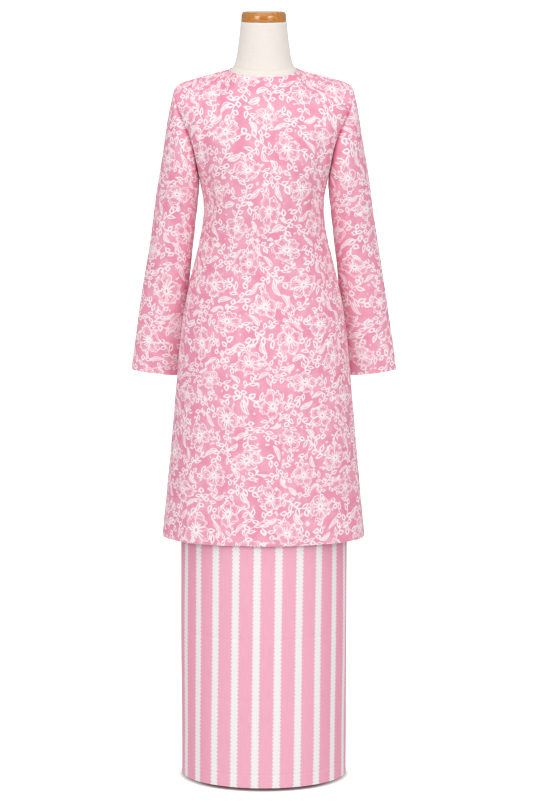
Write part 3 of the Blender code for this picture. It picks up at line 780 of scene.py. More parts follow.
def waistband(looks):
    """A closed casing, gathered by the elastic inside it, and drawn in by stitches above and below that."""
    heights = np.linspace(WAISTBAND_LEVELS[0].z, WAISTBAND_LEVELS[-1].z, WAISTBAND_ROWS + 1)
    front, back = (tube_half(WAISTBAND_LEVELS, side, heights) for side in (-1, 1))
    right = np.concatenate([front, back[:, -2::-1]], axis=1)
    left = right[:, -2:0:-1] * np.array([-1, 1, 1])
    points = np.concatenate([right, left], axis=1)
    (normals,) = joint_normals((points, 1, True))
    normals[..., 2] = 0.0
    cut = cut_of(closed_ring(points), 0)
    u, climbed = cut[:, :-1, 0], ((heights - heights[0]) / np.ptp(heights))[:, None]
    gathers = sum(rippled(ripple, u) for ripple in CASING_GATHERS)
    outer = points + normals * (gathers - folds_at(CASING_LINES, climbed))[..., None]
    inner = outer - WAISTBAND_WALL * normals
    piece = wall("skirt_waistband_cloth", outer, inner, cut, looks, "plain", ring=True)


def closed_mesh(name, grids, ends):
    """A mesh from grids of points, which share their points where they meet, and faces that close it."""
    bm = bmesh.new()
    made = {}
    quads = [(low[i], low[i + 1], high[i + 1], high[i])
             for rows in grids for low, high in zip(rows, rows[1:]) for i in range(len(low) - 1)]
    for corners in [*quads, *ends]:
        for corner in corners:
            if key(corner) not in made:
                made[key(corner)] = bm.verts.new(corner)
        # A corner that comes twice counts once
        bm.faces.new(dict.fromkeys(made[key(corner)] for corner in corners))
    mesh = bpy.data.meshes.new(name)
    bm.to_mesh(mesh)
    bm.free()
    return mesh


def form_torso(looks):
    """One closed cover: hips to shoulders, flat where arms would start, with the neck on top."""
    lower = crowded(np.arange(FORM_LOWER_ROWS) / FORM_LOWER_ROWS, ROW_CROWDING)
    halves = [body_half(FORM_LEVELS, side, lower) for side in (-1, 1)]
    panels = []
    for half, normals in zip(halves, joint_normals((halves[0], 1, False), (halves[1], -1, False))):
        below = np.linalg.norm(half - half[-1:], axis=-1)
        across = np.arange(half.shape[1]) / COLUMNS
        hidden = np.maximum(ramp(below, *HIDDEN_BELOW), ramp(across, *HIDDEN_BESIDE))
        hidden += ramp(across, *HIDDEN_AT_ARM)
        points = half - (CLOTH + FORM_GAP + HEM_EXTRA + FORM_HIDDEN_INSET * hidden)[..., None] * normals
        points[:, 0, 0] = 0.0
        points[0, :, 2] = FORM_LEVELS[0].z
        points[FORM_LOWER_ROWS:, -1, 0] -= FORM_ARM_INSET
        panels.append(both_halves(points))
    front, back = panels
    loop = np.concatenate([front[-1, NECKLINE], back[-1, NECKLINE][-2::-1]])
    neck = [loop, *neck_rings(loop)]
    arms = [np.stack([panel[FORM_LOWER_ROWS:, end] for panel in panels], axis=1) for end in (0, -1)]
    ends = [neck[-1][:-1], [*front[0], *back[0, -2:0:-1]]]
    mesh = closed_mesh("form_torso_linen", [front, back, neck, *arms], ends)
    finished("form_torso_linen", mesh, looks["linen"], "form_torso")


def neck_rings(start):
    """Closed rings of the neck above the neckline, drawn in a little along the seam of its cover."""
    angles = np.arctan2(start[:, 1], start[:, 0])
    around = NECK_TOP_RADIUS * np.cos(angles), NECK_TOP_RADIUS * np.sin(angles)
    top = np.stack([*around, np.full(len(start), NECK_TOP_Z)], axis=1)
    shares = with_rows_at((np.arange(1, NECK_ROWS + 1) / NECK_ROWS) ** ROW_CROWDING, NECK_SEAM_ROWS)
    rings = []
    for share in shares:
        sharp = NECK_FLARE_SHARE * math.exp(-share / NECK_FLARE_LENGTH)
        slow = (1 - NECK_FLARE_SHARE) * (1 - share) ** NECK_TAPER_POWER
        left = sharp + slow if share < 1 else 0
        ring = top + (start - top) * left
        ring[:, 2] = start[:, 2] + (top[:, 2] - start[:, 2]) * share
        height = (NECK_TOP_Z - NECK_SIDE_Z) * (share - NECK_SEAM_SHARE)
        radius = np.linalg.norm(ring[:, :2], axis=1, keepdims=True)
        ring[:, :2] *= 1 - NECK_SEAM_DEPTH * bell(height, NECK_SEAM_REACH) / radius
        rings.append(ring)
    return rings


def neck_cap(looks):
    """A turned disc with its upper edge well rounded and its lower one just broken."""
    low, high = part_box("form_neck_cap")
    radius, foot, top = (high.x - low.x) / 2 + CAP_VARNISH, low.z, high.z
    arc = np.linspace(0, math.pi / 2, CAP_ARC_POINTS)
    inwards, downwards = CAP_ROUNDING
    middle, beside = CAP_FLAT_MARGINS
    flat = [(r, top) for r in np.linspace(middle, radius - inwards - beside, CAP_FLAT_RINGS)]
    upper = [(radius - inwards * (1 - math.sin(a)), top - downwards * (1 - math.cos(a))) for a in arc]
    lower = [(radius - CAP_FOOT_ROUNDING * (1 - math.cos(a)), foot + CAP_FOOT_ROUNDING * (1 - math.sin(a)))
             for a in arc]
    turn = 2 * math.pi * (np.arange(TURNED_STEPS + 1) % TURNED_STEPS) / TURNED_STEPS
    profile = [*flat, *upper, *lower]
    rings = np.array([[(r * math.cos(t), r * math.sin(t), z) for t in turn] for r, z in profile])
    mesh = closed_mesh("form_neck_cap_wood", [rings], [rings[0, :-1], rings[-1, :-1]])
    finished("form_neck_cap_wood", mesh, looks["wood"], "form_neck_cap", math.radians(40))


def stand(looks):
    """The pole and the base keep their solids and get a finish."""
    for name in ("form_pole", "form_base"):
        for material_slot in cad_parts[name].material_slots:
            (material_slot.material,) = looks["steel"]


# ---- node helpers ----

MM = 1000.0  # the cut is in metres, and a pattern is drawn in millimetres
HALVES = (0.5, 0.5, 0.5)


def linear(colour):
    """An sRGB hex colour as linear RGBA."""
    parts = [int(colour[i : i + 2], 16) / 255 for i in (1, 3, 5)]
    return (*(c / 12.92 if c <= 0.04045 else ((c + 0.055) / 1.055) ** 2.4 for c in parts), 1.0)


def add_node(tree, kind, *inputs, out=0, sockets=None, **settings):
    """Adds a node with its settings, fills its open sockets in order or by name, and returns an output.

    The kind may be followed by the node's operation.
    """
    kind, _, operation = kind.partition(" ")
    node = tree.nodes.new(kind if kind.startswith("Node") else "ShaderNode" + kind)
    if operation:
        node.operation = operation
    for name, value in settings.items():
        setattr(node, name, value)
    filled = list(zip([s for s in node.inputs if s.enabled], inputs))
    filled += [(node.inputs[name], value) for name, value in (sockets or {}).items()]
    for socket, value in filled:
        if isinstance(value, bpy.types.NodeSocket):
            tree.links.new(value, socket)
        elif value is not None:
            socket.default_value = value
    open_outputs = [s for s in node.outputs if s.enabled]
    return open_outputs[out] if open_outputs else None


def new_material(name):
    """An empty material, and the function that adds its nodes."""
    material = bpy.data.materials.new(name)
    material.use_nodes = True
    material.node_tree.nodes.clear()
    return material, partial(add_node, material.node_tree)


def new_group(name, inputs, outputs):
    """An empty node group, the function that adds its nodes, and its inputs. Vectors' names have capitals."""
    tree = bpy.data.node_groups.new(name, "ShaderNodeTree")
    for labels, way in ((inputs, "INPUT"), (outputs, "OUTPUT")):
        for label in labels.split():
            kind = "NodeSocketVector" if label[0].isupper() else "NodeSocketFloat"
            tree.interface.new_socket(label, in_out=way, socket_type=kind)
    given = add_node(tree, "NodeGroupInput").node.outputs
    return tree, partial(add_node, tree), given[: len(inputs.split())]


def ramp_colours(ramp, places, colours):
    """Sets the points of a colour ramp, and returns its colour."""
    points = ramp.node.color_ramp.elements
    while len(points) < len(places):
        points.new(0.5)
    for point, place, colour in zip(points, places, colours):
        point.position = place
        point.color = linear(colour)
    return ramp


def cut_place(add):
    """Where a point is on the cut cloth, in millimetres across and along it."""
    return add("VectorMath SCALE", add("UVMap", uv_map="Cut"), MM)


def solid_place(add):
    """Where a point is on a solid, in millimetres."""
    return add("VectorMath SCALE", add("TexCoord", out=3), MM)


# ---- the tunic's print: outlined flowers and leafy vines on a lattice, in millimetres ----

# Each cell of the lattice has a flower at its corners, and a vine with sprigs and long leaves between them
ACROSS = (76.8, 40.0)
ALONG = (-38.4, 80.0)
LATTICE_DET = ACROSS[0] * ALONG[1] - ACROSS[1] * ALONG[0]
TO_CELLS = (
    (ALONG[1] / LATTICE_DET, -ALONG[0] / LATTICE_DET, 0.0),
    (-ACROSS[1] / LATTICE_DET, ACROSS[0] / LATTICE_DET, 0.0),
)
DIAGONAL = math.atan2(ACROSS[1] + ALONG[1], ACROSS[0] + ALONG[0])
# How far drawn lines stray and over what length, where a hand shakes and where the whole drawing drifts
Stray = namedtuple("Stray", "most length detail")
STRAYS = (Stray(3.2, 17.0, 0.5), Stray(30.0, 95.0, 0.0))
INK_EDGE = 0.5  # ink spreads this far into the cotton

FLOWER_STRAY = 11.0  # across the square in which a flower's middle may lie
FLOWER_RADIUS = (23.5, 27.5)
PETALS = 5
PETAL_BLUNTNESS = 0.7
PETAL_NOTCH = 0.27  # share of the radius that the outline draws in between petals
PETAL_RUFFLE = 1.8  # the rim's ruffles reach this far in and out
RUFFLES_PER_MM = 0.14
PETAL_LINING = 4.2  # a line runs this far inside the outline,
LINING_THINNER = 0.5  # and is thinner by this much on each side
BETWEEN_PETALS = 0.4
BETWEEN_PETALS_FROM = 11.0  # the lines between petals start this far from the middle
FLOWER_LINE = 1.05  # half the width of a line
STROKES_PER_WAY = (5.0, 0.06)  # brush strokes to a radian, and to a millimetre outwards
STROKES_SHOW = (0.45, 0.75)
STROKE_FADE = 6.0  # strokes are strongest at the rim, and fade over this length inwards
STROKE_INSIDE = 0.25  # to this strength
STAMENS = 14
STAMEN_START = 3.6
STAMEN_ENDS = (9.5, 18.0)
STAMEN_LINE = 1.15
STAMEN_RING_LINE = 1.3

VINE_LINE = 0.85
LEAF_PITCH = 17.5  # between leaves on one side of a vine
LEAF_ANGLE = math.radians(52)
LEAF_LEANS = (math.radians(-72), math.radians(-32))
LEAF_HALF_LENGTH = 6.4
LEAF_HALF_LENGTHS = (0.84 * LEAF_HALF_LENGTH, 1.08 * LEAF_HALF_LENGTH)
LEAF_HALF_WIDTH = 3.1
LEAF_LINE = 1.3
LEAF_CENTRE = 8.1  # from the vine to the middle of a leaf

# The vine and its side sprigs in a cell whose long diagonal is x: the middle, the heading in degrees, the
# bend's radius, half the length, how far it swings to and fro, and where its leaves start
Sprig = namedtuple("Sprig", "x y heading radius half swing lead")
SPRIGS = (
    Sprig(0.0, -4.0, 0.0, 105.0, 50.0, 8.0, 2.0),
    Sprig(13.0, 21.0, 62.0, 46.0, 18.0, 2.0, 6.0),
    Sprig(-12.0, -24.0, 240.0, 52.0, 17.0, -2.0, 5.0),
)
# Long leaves with a double line: the middle, the heading in degrees, the bend's radius, half length and width
LongLeaf = namedtuple("LongLeaf", "x y heading radius half width")
LONG_LEAVES = (
    LongLeaf(-17.0, 27.0, 140.0, 30.0, 15.0, 4.0),
    LongLeaf(17.0, -27.0, -36.0, 34.0, 15.0, 4.2),
)
LONG_LEAF_LINE = 0.8
ALMOND_KNOWN = 1.6  # an almond's width is worked out this far along, in shares of half its length
ALMOND_TAPER = 0.3  # it is fuller at its foot by this share
RIB_SLANT = 0.09
RIB_LINE = 0.3
RIB_INSIDE = 1.2  # the rib ends this far inside the outline

PATCH_SIZE = 13.0
PATCHES_SHOW = (0.35, 0.65)
SPOTS_SHOW = (0.68, 0.8)
LEAF_WASH = (0.1, 0.6)  # the least and the most ink of the washes in long leaves
PETAL_WASH = 0.5
SPOT_WASH = 0.8
FLOWER_INK = 0.95


def along_and_across(add, place, middle, heading, radius):
    """Lengths along a bend that heads that way through the middle, and to its left."""
    turned = add("VectorRotate", place, middle, heading, rotation_type="Z_AXIS")
    x, y, _ = add("SeparateXYZ", add("VectorMath SUBTRACT", turned, middle)).node.outputs
    from_centre = add("Math SUBTRACT", radius, y)
    along = add("Math MULTIPLY", add("Math ARCTAN2", x, from_centre), radius)
    length = add("VectorMath LENGTH", add("CombineXYZ", x, from_centre))
    return along, add("Math SUBTRACT", radius, length)


def almond(add, along, across, half_length, half_width):
    """How far a point is outside an almond's outline, below 0 inside it."""
    share = add("Clamp", add("Math DIVIDE", along, half_length), -ALMOND_KNOWN, ALMOND_KNOWN)
    full = add("Math SUBTRACT", 1.0, add("Math MULTIPLY", share, share))
    blunt = add("Math MULTIPLY_ADD", share, -ALMOND_TAPER, 1.0)
    width = add("Math MULTIPLY", add("Math MULTIPLY", full, blunt), half_width)
    return add("Math SUBTRACT", add("Math ABSOLUTE", across), width)


def sprig_group():
    """How far a point is outside a vine's ink: a swinging line, leaves on both sides and one at its tip."""
    tree, add, given = new_group("Sprig", "Place Middle heading radius half swing lead seed", "distance")
    place, middle, heading, radius, half, swing, lead, seed = given
    along, across = along_and_across(add, place, middle, heading, radius)
    phase = add("Math MULTIPLY", add("Math DIVIDE", along, half), math.pi)
    across = add("Math MULTIPLY_ADD", add("Math SINE", phase), swing, across)
    off_line = add("Math ABSOLUTE", across)
    past_end = add("Math SUBTRACT", add("Math ABSOLUTE", along), half)
    vine = add("Math MAXIMUM", add("Math SUBTRACT", off_line, VINE_LINE), past_end)
    # The leaf whose foot a point belongs to: leaves lean forward, and those on the two sides alternate
    side = add("Math SIGN", across)
    foot = add("Math MULTIPLY_ADD", off_line, -1 / math.tan(LEAF_ANGLE), along)
    start = add("Math MULTIPLY_ADD", side, -LEAF_PITCH / 4, lead)
    number = add("Math ROUND", add("Math DIVIDE", add("Math SUBTRACT", foot, start), LEAF_PITCH))
    base = add("Math MULTIPLY_ADD", number, LEAF_PITCH, start)
    chance = add("TexWhiteNoise", add("CombineXYZ", number, side, seed), noise_dimensions="3D", out=1)
    for_lean, for_length, _ = add("SeparateColor", chance).node.outputs
    lean = add("MapRange", for_lean, 0.0, 1.0, *LEAF_LEANS)
    from_foot = add("CombineXYZ", add("Math SUBTRACT", along, base), off_line)
    in_leaf = add("VectorRotate", from_foot, None, lean, rotation_type="Z_AXIS")
    x, y, _ = add("SeparateXYZ", in_leaf).node.outputs
    length = add("MapRange", for_length, 0.0, 1.0, *LEAF_HALF_LENGTHS)
    leaf = almond(add, add("Math SUBTRACT", x, LEAF_CENTRE), y, length, LEAF_HALF_WIDTH)
    no_leaf = add("Math SUBTRACT", add("Math ABSOLUTE", base), half)
    # One more leaf at the tip
    ahead = add("Math SUBTRACT", add("Math SUBTRACT", along, half), LEAF_HALF_LENGTH - 1)
    tip = almond(add, ahead, across, LEAF_HALF_LENGTH, LEAF_HALF_WIDTH)
    leaf = add("Math MAXIMUM", add("Math ABSOLUTE", leaf), no_leaf)
    leaf = add("Math MINIMUM", leaf, add("Math ABSOLUTE", tip))
    leaf = add("Math SUBTRACT", leaf, LEAF_LINE)
    add("NodeGroupOutput", add("Math MINIMUM", vine, leaf))
    return tree


def long_leaf_group():
    """How far a point is outside the double line of a long bent leaf, and outside the leaf."""
    tree, add, given = new_group("Long leaf", "Place Middle heading radius half width", "distance outside")
    place, middle, heading, radius, half, width = given
    along, across = along_and_across(add, place, middle, heading, radius)
    outside = almond(add, along, across, half, width)
    rib = add("Math ABSOLUTE", add("Math MULTIPLY_ADD", along, RIB_SLANT, across))
    rib = add("Math SUBTRACT", rib, RIB_LINE)
    rib = add("Math MAXIMUM", rib, add("Math ADD", outside, RIB_INSIDE))
    line = add("Math MINIMUM", add("Math ABSOLUTE", outside), rib)
    add("NodeGroupOutput", add("Math SUBTRACT", line, LONG_LEAF_LINE), outside)
    return tree


def cell_group():
    """A point's numbers in the lattice, and the middle between cells with those numbers."""
    tree, add, (numbers,) = new_group("Cell middle", "Numbers", "Middle")
    x, y = (add("VectorMath DOT_PRODUCT", numbers, (*pair, 0.0)) for pair in zip(ACROSS, ALONG))
    add("NodeGroupOutput", add("CombineXYZ", x, y))
    return tree


def flower_group():
    """How far a point is outside a flower's lines and its outline, and a streaky wash on its petals."""
    tree, add, (place, random) = new_group("Flower", "Place Chance", "distance outside wash")
    for_size, for_stamens, for_turn = add("SeparateXYZ", random).node.outputs
    stray = add("VectorMath SCALE", add("VectorMath SUBTRACT", random, HALVES), FLOWER_STRAY)
    x, y, _ = add("SeparateXYZ", add("VectorMath SUBTRACT", place, stray)).node.outputs
    reach = add("VectorMath LENGTH", add("CombineXYZ", x, y))
    angle = add("Math MULTIPLY_ADD", for_turn, 2 * math.pi, add("Math ARCTAN2", y, x))
    # Petals, each with a ruffled rim
    radius = add("MapRange", for_size, 0.0, 1.0, *FLOWER_RADIUS)
    lobe = add("Math ABSOLUTE", add("Math COSINE", add("Math MULTIPLY", angle, PETALS / 2)))
    full = add("Math POWER", lobe, PETAL_BLUNTNESS)
    share = add("Math MULTIPLY_ADD", full, PETAL_NOTCH, 1 - PETAL_NOTCH)
    ruffle = add("TexNoise", place, RUFFLES_PER_MM, 0.5, noise_dimensions="2D")
    ruffle = add("MapRange", ruffle, 0.3, 0.7, -PETAL_RUFFLE, PETAL_RUFFLE)
    outside = add("Math SUBTRACT", reach, add("Math MULTIPLY_ADD", share, radius, ruffle))
    inner_line = add("Math ABSOLUTE", add("Math ADD", outside, PETAL_LINING))
    inner_line = add("Math ADD", inner_line, LINING_THINNER)
    outline = add("Math MINIMUM", add("Math ABSOLUTE", outside), inner_line)
    # Lines between petals
    notch = add("Math MULTIPLY", add("Math MULTIPLY", lobe, reach), BETWEEN_PETALS)
    near = add("Math SUBTRACT", BETWEEN_PETALS_FROM, reach)
    notch = add("Math MAXIMUM", notch, add("Math MAXIMUM", near, outside))
    lines = add("Math SUBTRACT", add("Math MINIMUM", outline, notch), FLOWER_LINE)
    # Stamens round a small ring
    turn = add("Math MULTIPLY", angle, STAMENS / (2 * math.pi))
    off_line = add("Math ABSOLUTE", add("Math SUBTRACT", add("Math FRACT", turn), 0.5))
    off_line = add("Math MULTIPLY", add("Math MULTIPLY", off_line, reach), 2 * math.pi / STAMENS)
    number = add("CombineXYZ", add("Math FLOOR", turn), for_stamens)
    length = add("MapRange", add("TexWhiteNoise", number, noise_dimensions="3D"), 0.0, 1.0, *STAMEN_ENDS)
    before = add("Math SUBTRACT", STAMEN_START, reach)
    after = add("Math SUBTRACT", reach, length)
    stamen = add("Math SUBTRACT", off_line, STAMEN_LINE)
    stamen = add("Math MAXIMUM", stamen, add("Math MAXIMUM", before, after))
    ring = add("Math ABSOLUTE", add("Math SUBTRACT", reach, STAMEN_START))
    ring = add("Math SUBTRACT", ring, STAMEN_RING_LINE)
    lines = add("Math MINIMUM", lines, add("Math MINIMUM", stamen, ring))
    # Brush strokes from the middle of each petal to its rim
    ways = zip((angle, reach), STROKES_PER_WAY)
    strokes = add("CombineXYZ", *(add("Math MULTIPLY", way, often) for way, often in ways), for_stamens)
    strokes = add("TexNoise", strokes, 1.0, 2.0, noise_dimensions="3D")
    strokes = add("MapRange", strokes, *STROKES_SHOW, 0.0, 1.0)
    within = add("MapRange", outside, -STROKE_FADE, 0.0, STROKE_INSIDE, 1.0)
    add("NodeGroupOutput", lines, outside, add("Math MULTIPLY", strokes, within))
    return tree


def ink_over(add, distance, softness=INK_EDGE, strength=1.0):
    """How much ink there is at a distance outside a shape."""
    return add("MapRange", distance, -softness, softness, strength, 0.0, interpolation_type="SMOOTHSTEP")


def bend(drawn):
    """The middle, turn, radius and half length of a drawn sprig or leaf."""
    return (drawn.x, drawn.y, 0.0), -math.radians(drawn.heading), drawn.radius, drawn.half


def print_group():
    """The whole print: how much white ink lies at a place on the cut."""
    tree, add, (cut,) = new_group("Floral print", "Place", "ink")
    place = cut
    for most, length, detail in STRAYS:
        stray = add("TexNoise", cut, 1 / length, detail, noise_dimensions="2D", out=1)
        stray = add("VectorMath SCALE", add("VectorMath SUBTRACT", stray, HALVES), most)
        place = add("VectorMath ADD", place, stray)
    numbers = add("CombineXYZ", *(add("VectorMath DOT_PRODUCT", place, row) for row in TO_CELLS))
    middle = cell_group()
    corner = add("VectorMath FLOOR", add("VectorMath ADD", numbers, HALVES))
    from_corner = add("VectorMath SUBTRACT", place, add("Group", corner, node_tree=middle))
    chance = add("TexWhiteNoise", corner, noise_dimensions="3D", out=1)
    flower = add("Group", from_corner, chance, node_tree=flower_group()).node
    flower_lines, beside_flower, strokes = flower.outputs
    # The cell that the point is in, turned one of four ways
    centre = add("VectorMath ADD", add("VectorMath FLOOR", numbers), (0.5, 0.5, 0.0))
    from_centre = add("VectorMath SUBTRACT", place, add("Group", centre, node_tree=middle))
    seed = add("TexWhiteNoise", centre, noise_dimensions="3D")
    quarter = add("Math FLOOR", add("Math MULTIPLY", seed, 4.0))
    turn = add("Math MULTIPLY_ADD", quarter, math.pi / 2, -DIAGONAL)
    in_cell = add("VectorRotate", from_centre, None, turn, rotation_type="Z_AXIS")
    nearest = partial(add, "Math MINIMUM")
    sprig, long_leaf = sprig_group(), long_leaf_group()
    vines = [
        add("Group", in_cell, *bend(one), one.swing, one.lead, seed, node_tree=sprig) for one in SPRIGS
    ]
    vines = reduce(nearest, vines)
    leaves = [
        add("Group", in_cell, *bend(one), one.width, node_tree=long_leaf).node for one in LONG_LEAVES
    ]
    for leaf in leaves:
        line, outside = leaf.outputs
        vines = nearest(add("Math MAXIMUM", vines, add("Math SUBTRACT", 0.0, outside)), line)
    leaf_areas = reduce(nearest, [leaf.outputs[1] for leaf in leaves])
    beyond_flower = add("Math SUBTRACT", 0.0, beside_flower)
    vines, leaf_areas = (add("Math MAXIMUM", shape, beyond_flower) for shape in (vines, leaf_areas))
    # Pale washes: in the long leaves, on the petals and as soft spots of their own
    patchy = add("TexNoise", cut, 1 / PATCH_SIZE, 0.5, noise_dimensions="2D")
    leaf_wash = add("MapRange", patchy, *PATCHES_SHOW, *LEAF_WASH)
    leaf_wash = add("Math MULTIPLY", ink_over(add, leaf_areas), leaf_wash)
    petal_wash = add("Math MULTIPLY", ink_over(add, beside_flower, 1.0), strokes)
    petal_wash = add("Math MULTIPLY", petal_wash, PETAL_WASH)
    spots = add("MapRange", patchy, *SPOTS_SHOW, 0.0, SPOT_WASH, interpolation_type="SMOOTHSTEP")
    lines = ink_over(add, vines), ink_over(add, flower_lines, strength=FLOWER_INK)
    ink = reduce(partial(add, "Math MAXIMUM"), [*lines, leaf_wash, petal_wash, spots])
    add("NodeGroupOutput", ink)
    return tree


# ---- materials ----

COTTON = {
    "Roughness": 0.85,
    "IOR": 1.5,
    "Specular IOR Level": 0.25,
    "Sheen Weight": 0.12,
    "Sheen Roughness": 0.5,
}
LINEN_CLOTH = {
    "Roughness": 0.9,
    "IOR": 1.5,
    "Specular IOR Level": 0.2,
    "Sheen Weight": 0.1,
    "Sheen Roughness": 0.6,
}
VARNISHED_WOOD = {
    "Roughness": 0.22,
    "IOR": 1.5,
    "Specular IOR Level": 0.5,
    "Coat Weight": 1.0,
    "Coat Roughness": 0.14,
    "Coat IOR": 1.5,
}
POLYESTER = {"Roughness": 0.5, "IOR": 1.57}
POWDER_COAT = {"Roughness": 0.38, "IOR": 1.5}
MATT_PAINT = {"Roughness": 0.95, "Specular IOR Level": 0.1}
THREAD_DRAWN = 1.3  # a thread of this cotton is 0.35 mm wide, too fine to show, so it is drawn coarser
# How strong each relief is, and its height
WEAVE_RELIEF = (0.5, 0.0003)
LINEN_RELIEF = (0.12, 0.0005)
WOOD_RELIEF = (0.03, 0.0002)
PEEL_RELIEF = (0.12, 0.0002)
SLANT = (0.05, 0.42)  # from straight on to aslant, where the painted shade starts and where it is full
SLANT_PAINTED_SHADE = "#FFEFF5"
GROUND = ("#F09AB4", "#F3A4BC", "#F6AFC4")  # deep, middle and pale places of the watery ground
GROUND_PATCH = 34.0
INK_WHITE = "#FFFAFB"
INK_THROUGH = 0.35  # share of the print that shows on the wrong side
STRIPE_PITCH = 45.8
STRIPE_HALF_WIDTHS = (7.1, 8.1)  # as its edge is ragged,
STRIPE_RAG = 3.0  # over this length
STRIPE_SOFTNESS = 0.6
STRIPE_THROUGH = 0.8
SCALLOP_PITCH = 8.6
SCALLOP_DEPTH = 1.3
SKIRT_PINK = ("#F9B1C8", "#FCB9CE")
YARNS_PER_MM = (0.45, 0.035, 1.0)  # across the panel, and where a yarn changes along it
SHADE_PATCH = 9.0
STRIPE_WHITE = "#FAF7F6"
THREAD_PINK = ("#EFA9BF", "#FBD3DF")
TWIST_PER_M = 900.0
LINEN = ("#ECE5DC", "#F1EAE2")
NECK_RADIUS = 55.0  # about: it turns an angle round the form into a length
SLUBS_PER_MM = 0.55
SLUB_THINNESS = 0.06  # a slub's thickness as a share of its length
NECK_BAND_PALE = "#F6F4F1"
NECK_BAND_START = 1615.0
NECK_BAND_EDGE = 0.3
BEECH = ("#B2681D", "#C97E2B", "#D8923C")
# How close spots lie along the grain, and both ways across it
GRAIN = (0.05, 0.9, 0.9)
FLECKS = (0.25, 2.2, 2.2)
SPOT_SCALE = 0.5
FLECK_SHARE = 0.4
COAT_WHITE = ("#DADAD8", "#E4E4E2")
PEEL_PER_MM = 0.6


def weave(add, place):
    """Plain weave: threads over and under each other, as a low relief."""
    drawn = add("VectorMath SCALE", place, 1 / THREAD_DRAWN)
    checks = [add("TexWave", drawn, 0.5, bands_direction=way, wave_profile="SIN") for way in ("X", "Y")]
    return relief(add, add("Math MULTIPLY", *checks), *WEAVE_RELIEF)


def relief(add, pattern, strength, height):
    """A pattern's bump, which is this high where it is strongest."""
    return add("Bump", sockets={"Strength": strength, "Distance": height, "Height": pattern})


def painted_shade_aslant(add, colour):
    """Painted shade: seen aslant, towards a shape's edges, the cotton's colour is tinted deeper and darker,
    as if in shade.
    """
    share = add("MapRange", add("LayerWeight", 0.5, out=1), *SLANT, interpolation_type="SMOOTHSTEP")
    return add("Mix", share, colour, linear(SLANT_PAINTED_SHADE), data_type="RGBA", blend_type="MULTIPLY")


def surfaced(material, add, substance, colour, **links):
    """Ends a material with its surface: a substance's values, a colour and what else varies over it."""
    add("OutputMaterial", add("BsdfPrincipled", sockets=substance | {"Base Color": colour} | links))
    return material


def printed_cotton(printed, reverse=False):
    """Woven cotton with a screen print: matt, with a faint nap, and ink that sinks in without an edge."""
    material, add = new_material("cotton_printed_reverse" if reverse else "cotton_printed")
    place = cut_place(add)
    patches = add("TexNoise", place, 1 / GROUND_PATCH, 3.0, noise_dimensions="2D")
    ground = ramp_colours(add("ValToRGB", patches), (0.34, 0.5, 0.66), GROUND)
    ink = add("Group", place, node_tree=printed)
    if reverse:  # the print shows through faintly on the wrong side
        ink = add("Math MULTIPLY", ink, INK_THROUGH)
    # The ground is deepened aslant as painted shade
    colour = add("Mix", ink, painted_shade_aslant(add, ground), linear(INK_WHITE), data_type="RGBA")
    return surfaced(material, add, COTTON, colour, Normal=weave(add, place))


def striped_cotton(reverse=False):
    """Yarn-dyed cotton: matt, with thick and thin yarns down the pink, and scalloped white stripes."""
    material, add = new_material("cotton_striped_reverse" if reverse else "cotton_striped")
    place = cut_place(add)
    x, y, _ = add("SeparateXYZ", place).node.outputs
    from_stripe = add("Math ABSOLUTE", add("Math WRAP", x, STRIPE_PITCH / 2, -STRIPE_PITCH / 2))
    scallop = add("Math SINE", add("Math MULTIPLY", y, 2 * math.pi / SCALLOP_PITCH))
    ragged = add("TexNoise", place, 1 / STRIPE_RAG, 1.0, noise_dimensions="2D")
    ragged = add("MapRange", ragged, 0.0, 1.0, *STRIPE_HALF_WIDTHS)
    edge = add("Math MULTIPLY_ADD", scallop, SCALLOP_DEPTH, ragged)
    white = ink_over(add, add("Math SUBTRACT", from_stripe, edge), STRIPE_SOFTNESS)
    yarns = add("VectorMath MULTIPLY", place, YARNS_PER_MM)
    yarns = add("TexNoise", yarns, 1.0, 2.0, noise_dimensions="2D")
    pink = ramp_colours(add("ValToRGB", yarns), (0.3, 0.7), SKIRT_PINK)
    share = add("Math MULTIPLY", white, STRIPE_THROUGH if reverse else 1.0)
    # The pink is deepened aslant as painted shade
    colour = add("Mix", share, painted_shade_aslant(add, pink), linear(STRIPE_WHITE), data_type="RGBA")
    return surfaced(material, add, COTTON, colour, Normal=weave(add, place))


def plain_cotton():
    """Cotton over elastic, in the skirt's pink: matt, with folds pressed between the gathers."""
    material, add = new_material("cotton_plain")
    place = cut_place(add)
    shade = add("TexNoise", place, 1 / SHADE_PATCH, 2.0, noise_dimensions="2D")
    colour = ramp_colours(add("ValToRGB", shade), (0.35, 0.65), SKIRT_PINK)
    return surfaced(material, add, COTTON, colour, Normal=weave(add, place))


def sewing_thread():
    """Spun polyester, two plies twisted: a soft gloss broken up by the twist."""
    material, add = new_material("polyester_thread")
    fleck = add("TexNoise", add("TexCoord", out=3), TWIST_PER_M, 1.0)
    colour = ramp_colours(add("ValToRGB", fleck), (0.4, 0.6), THREAD_PINK)
    return surfaced(material, add, POLYESTER, colour)


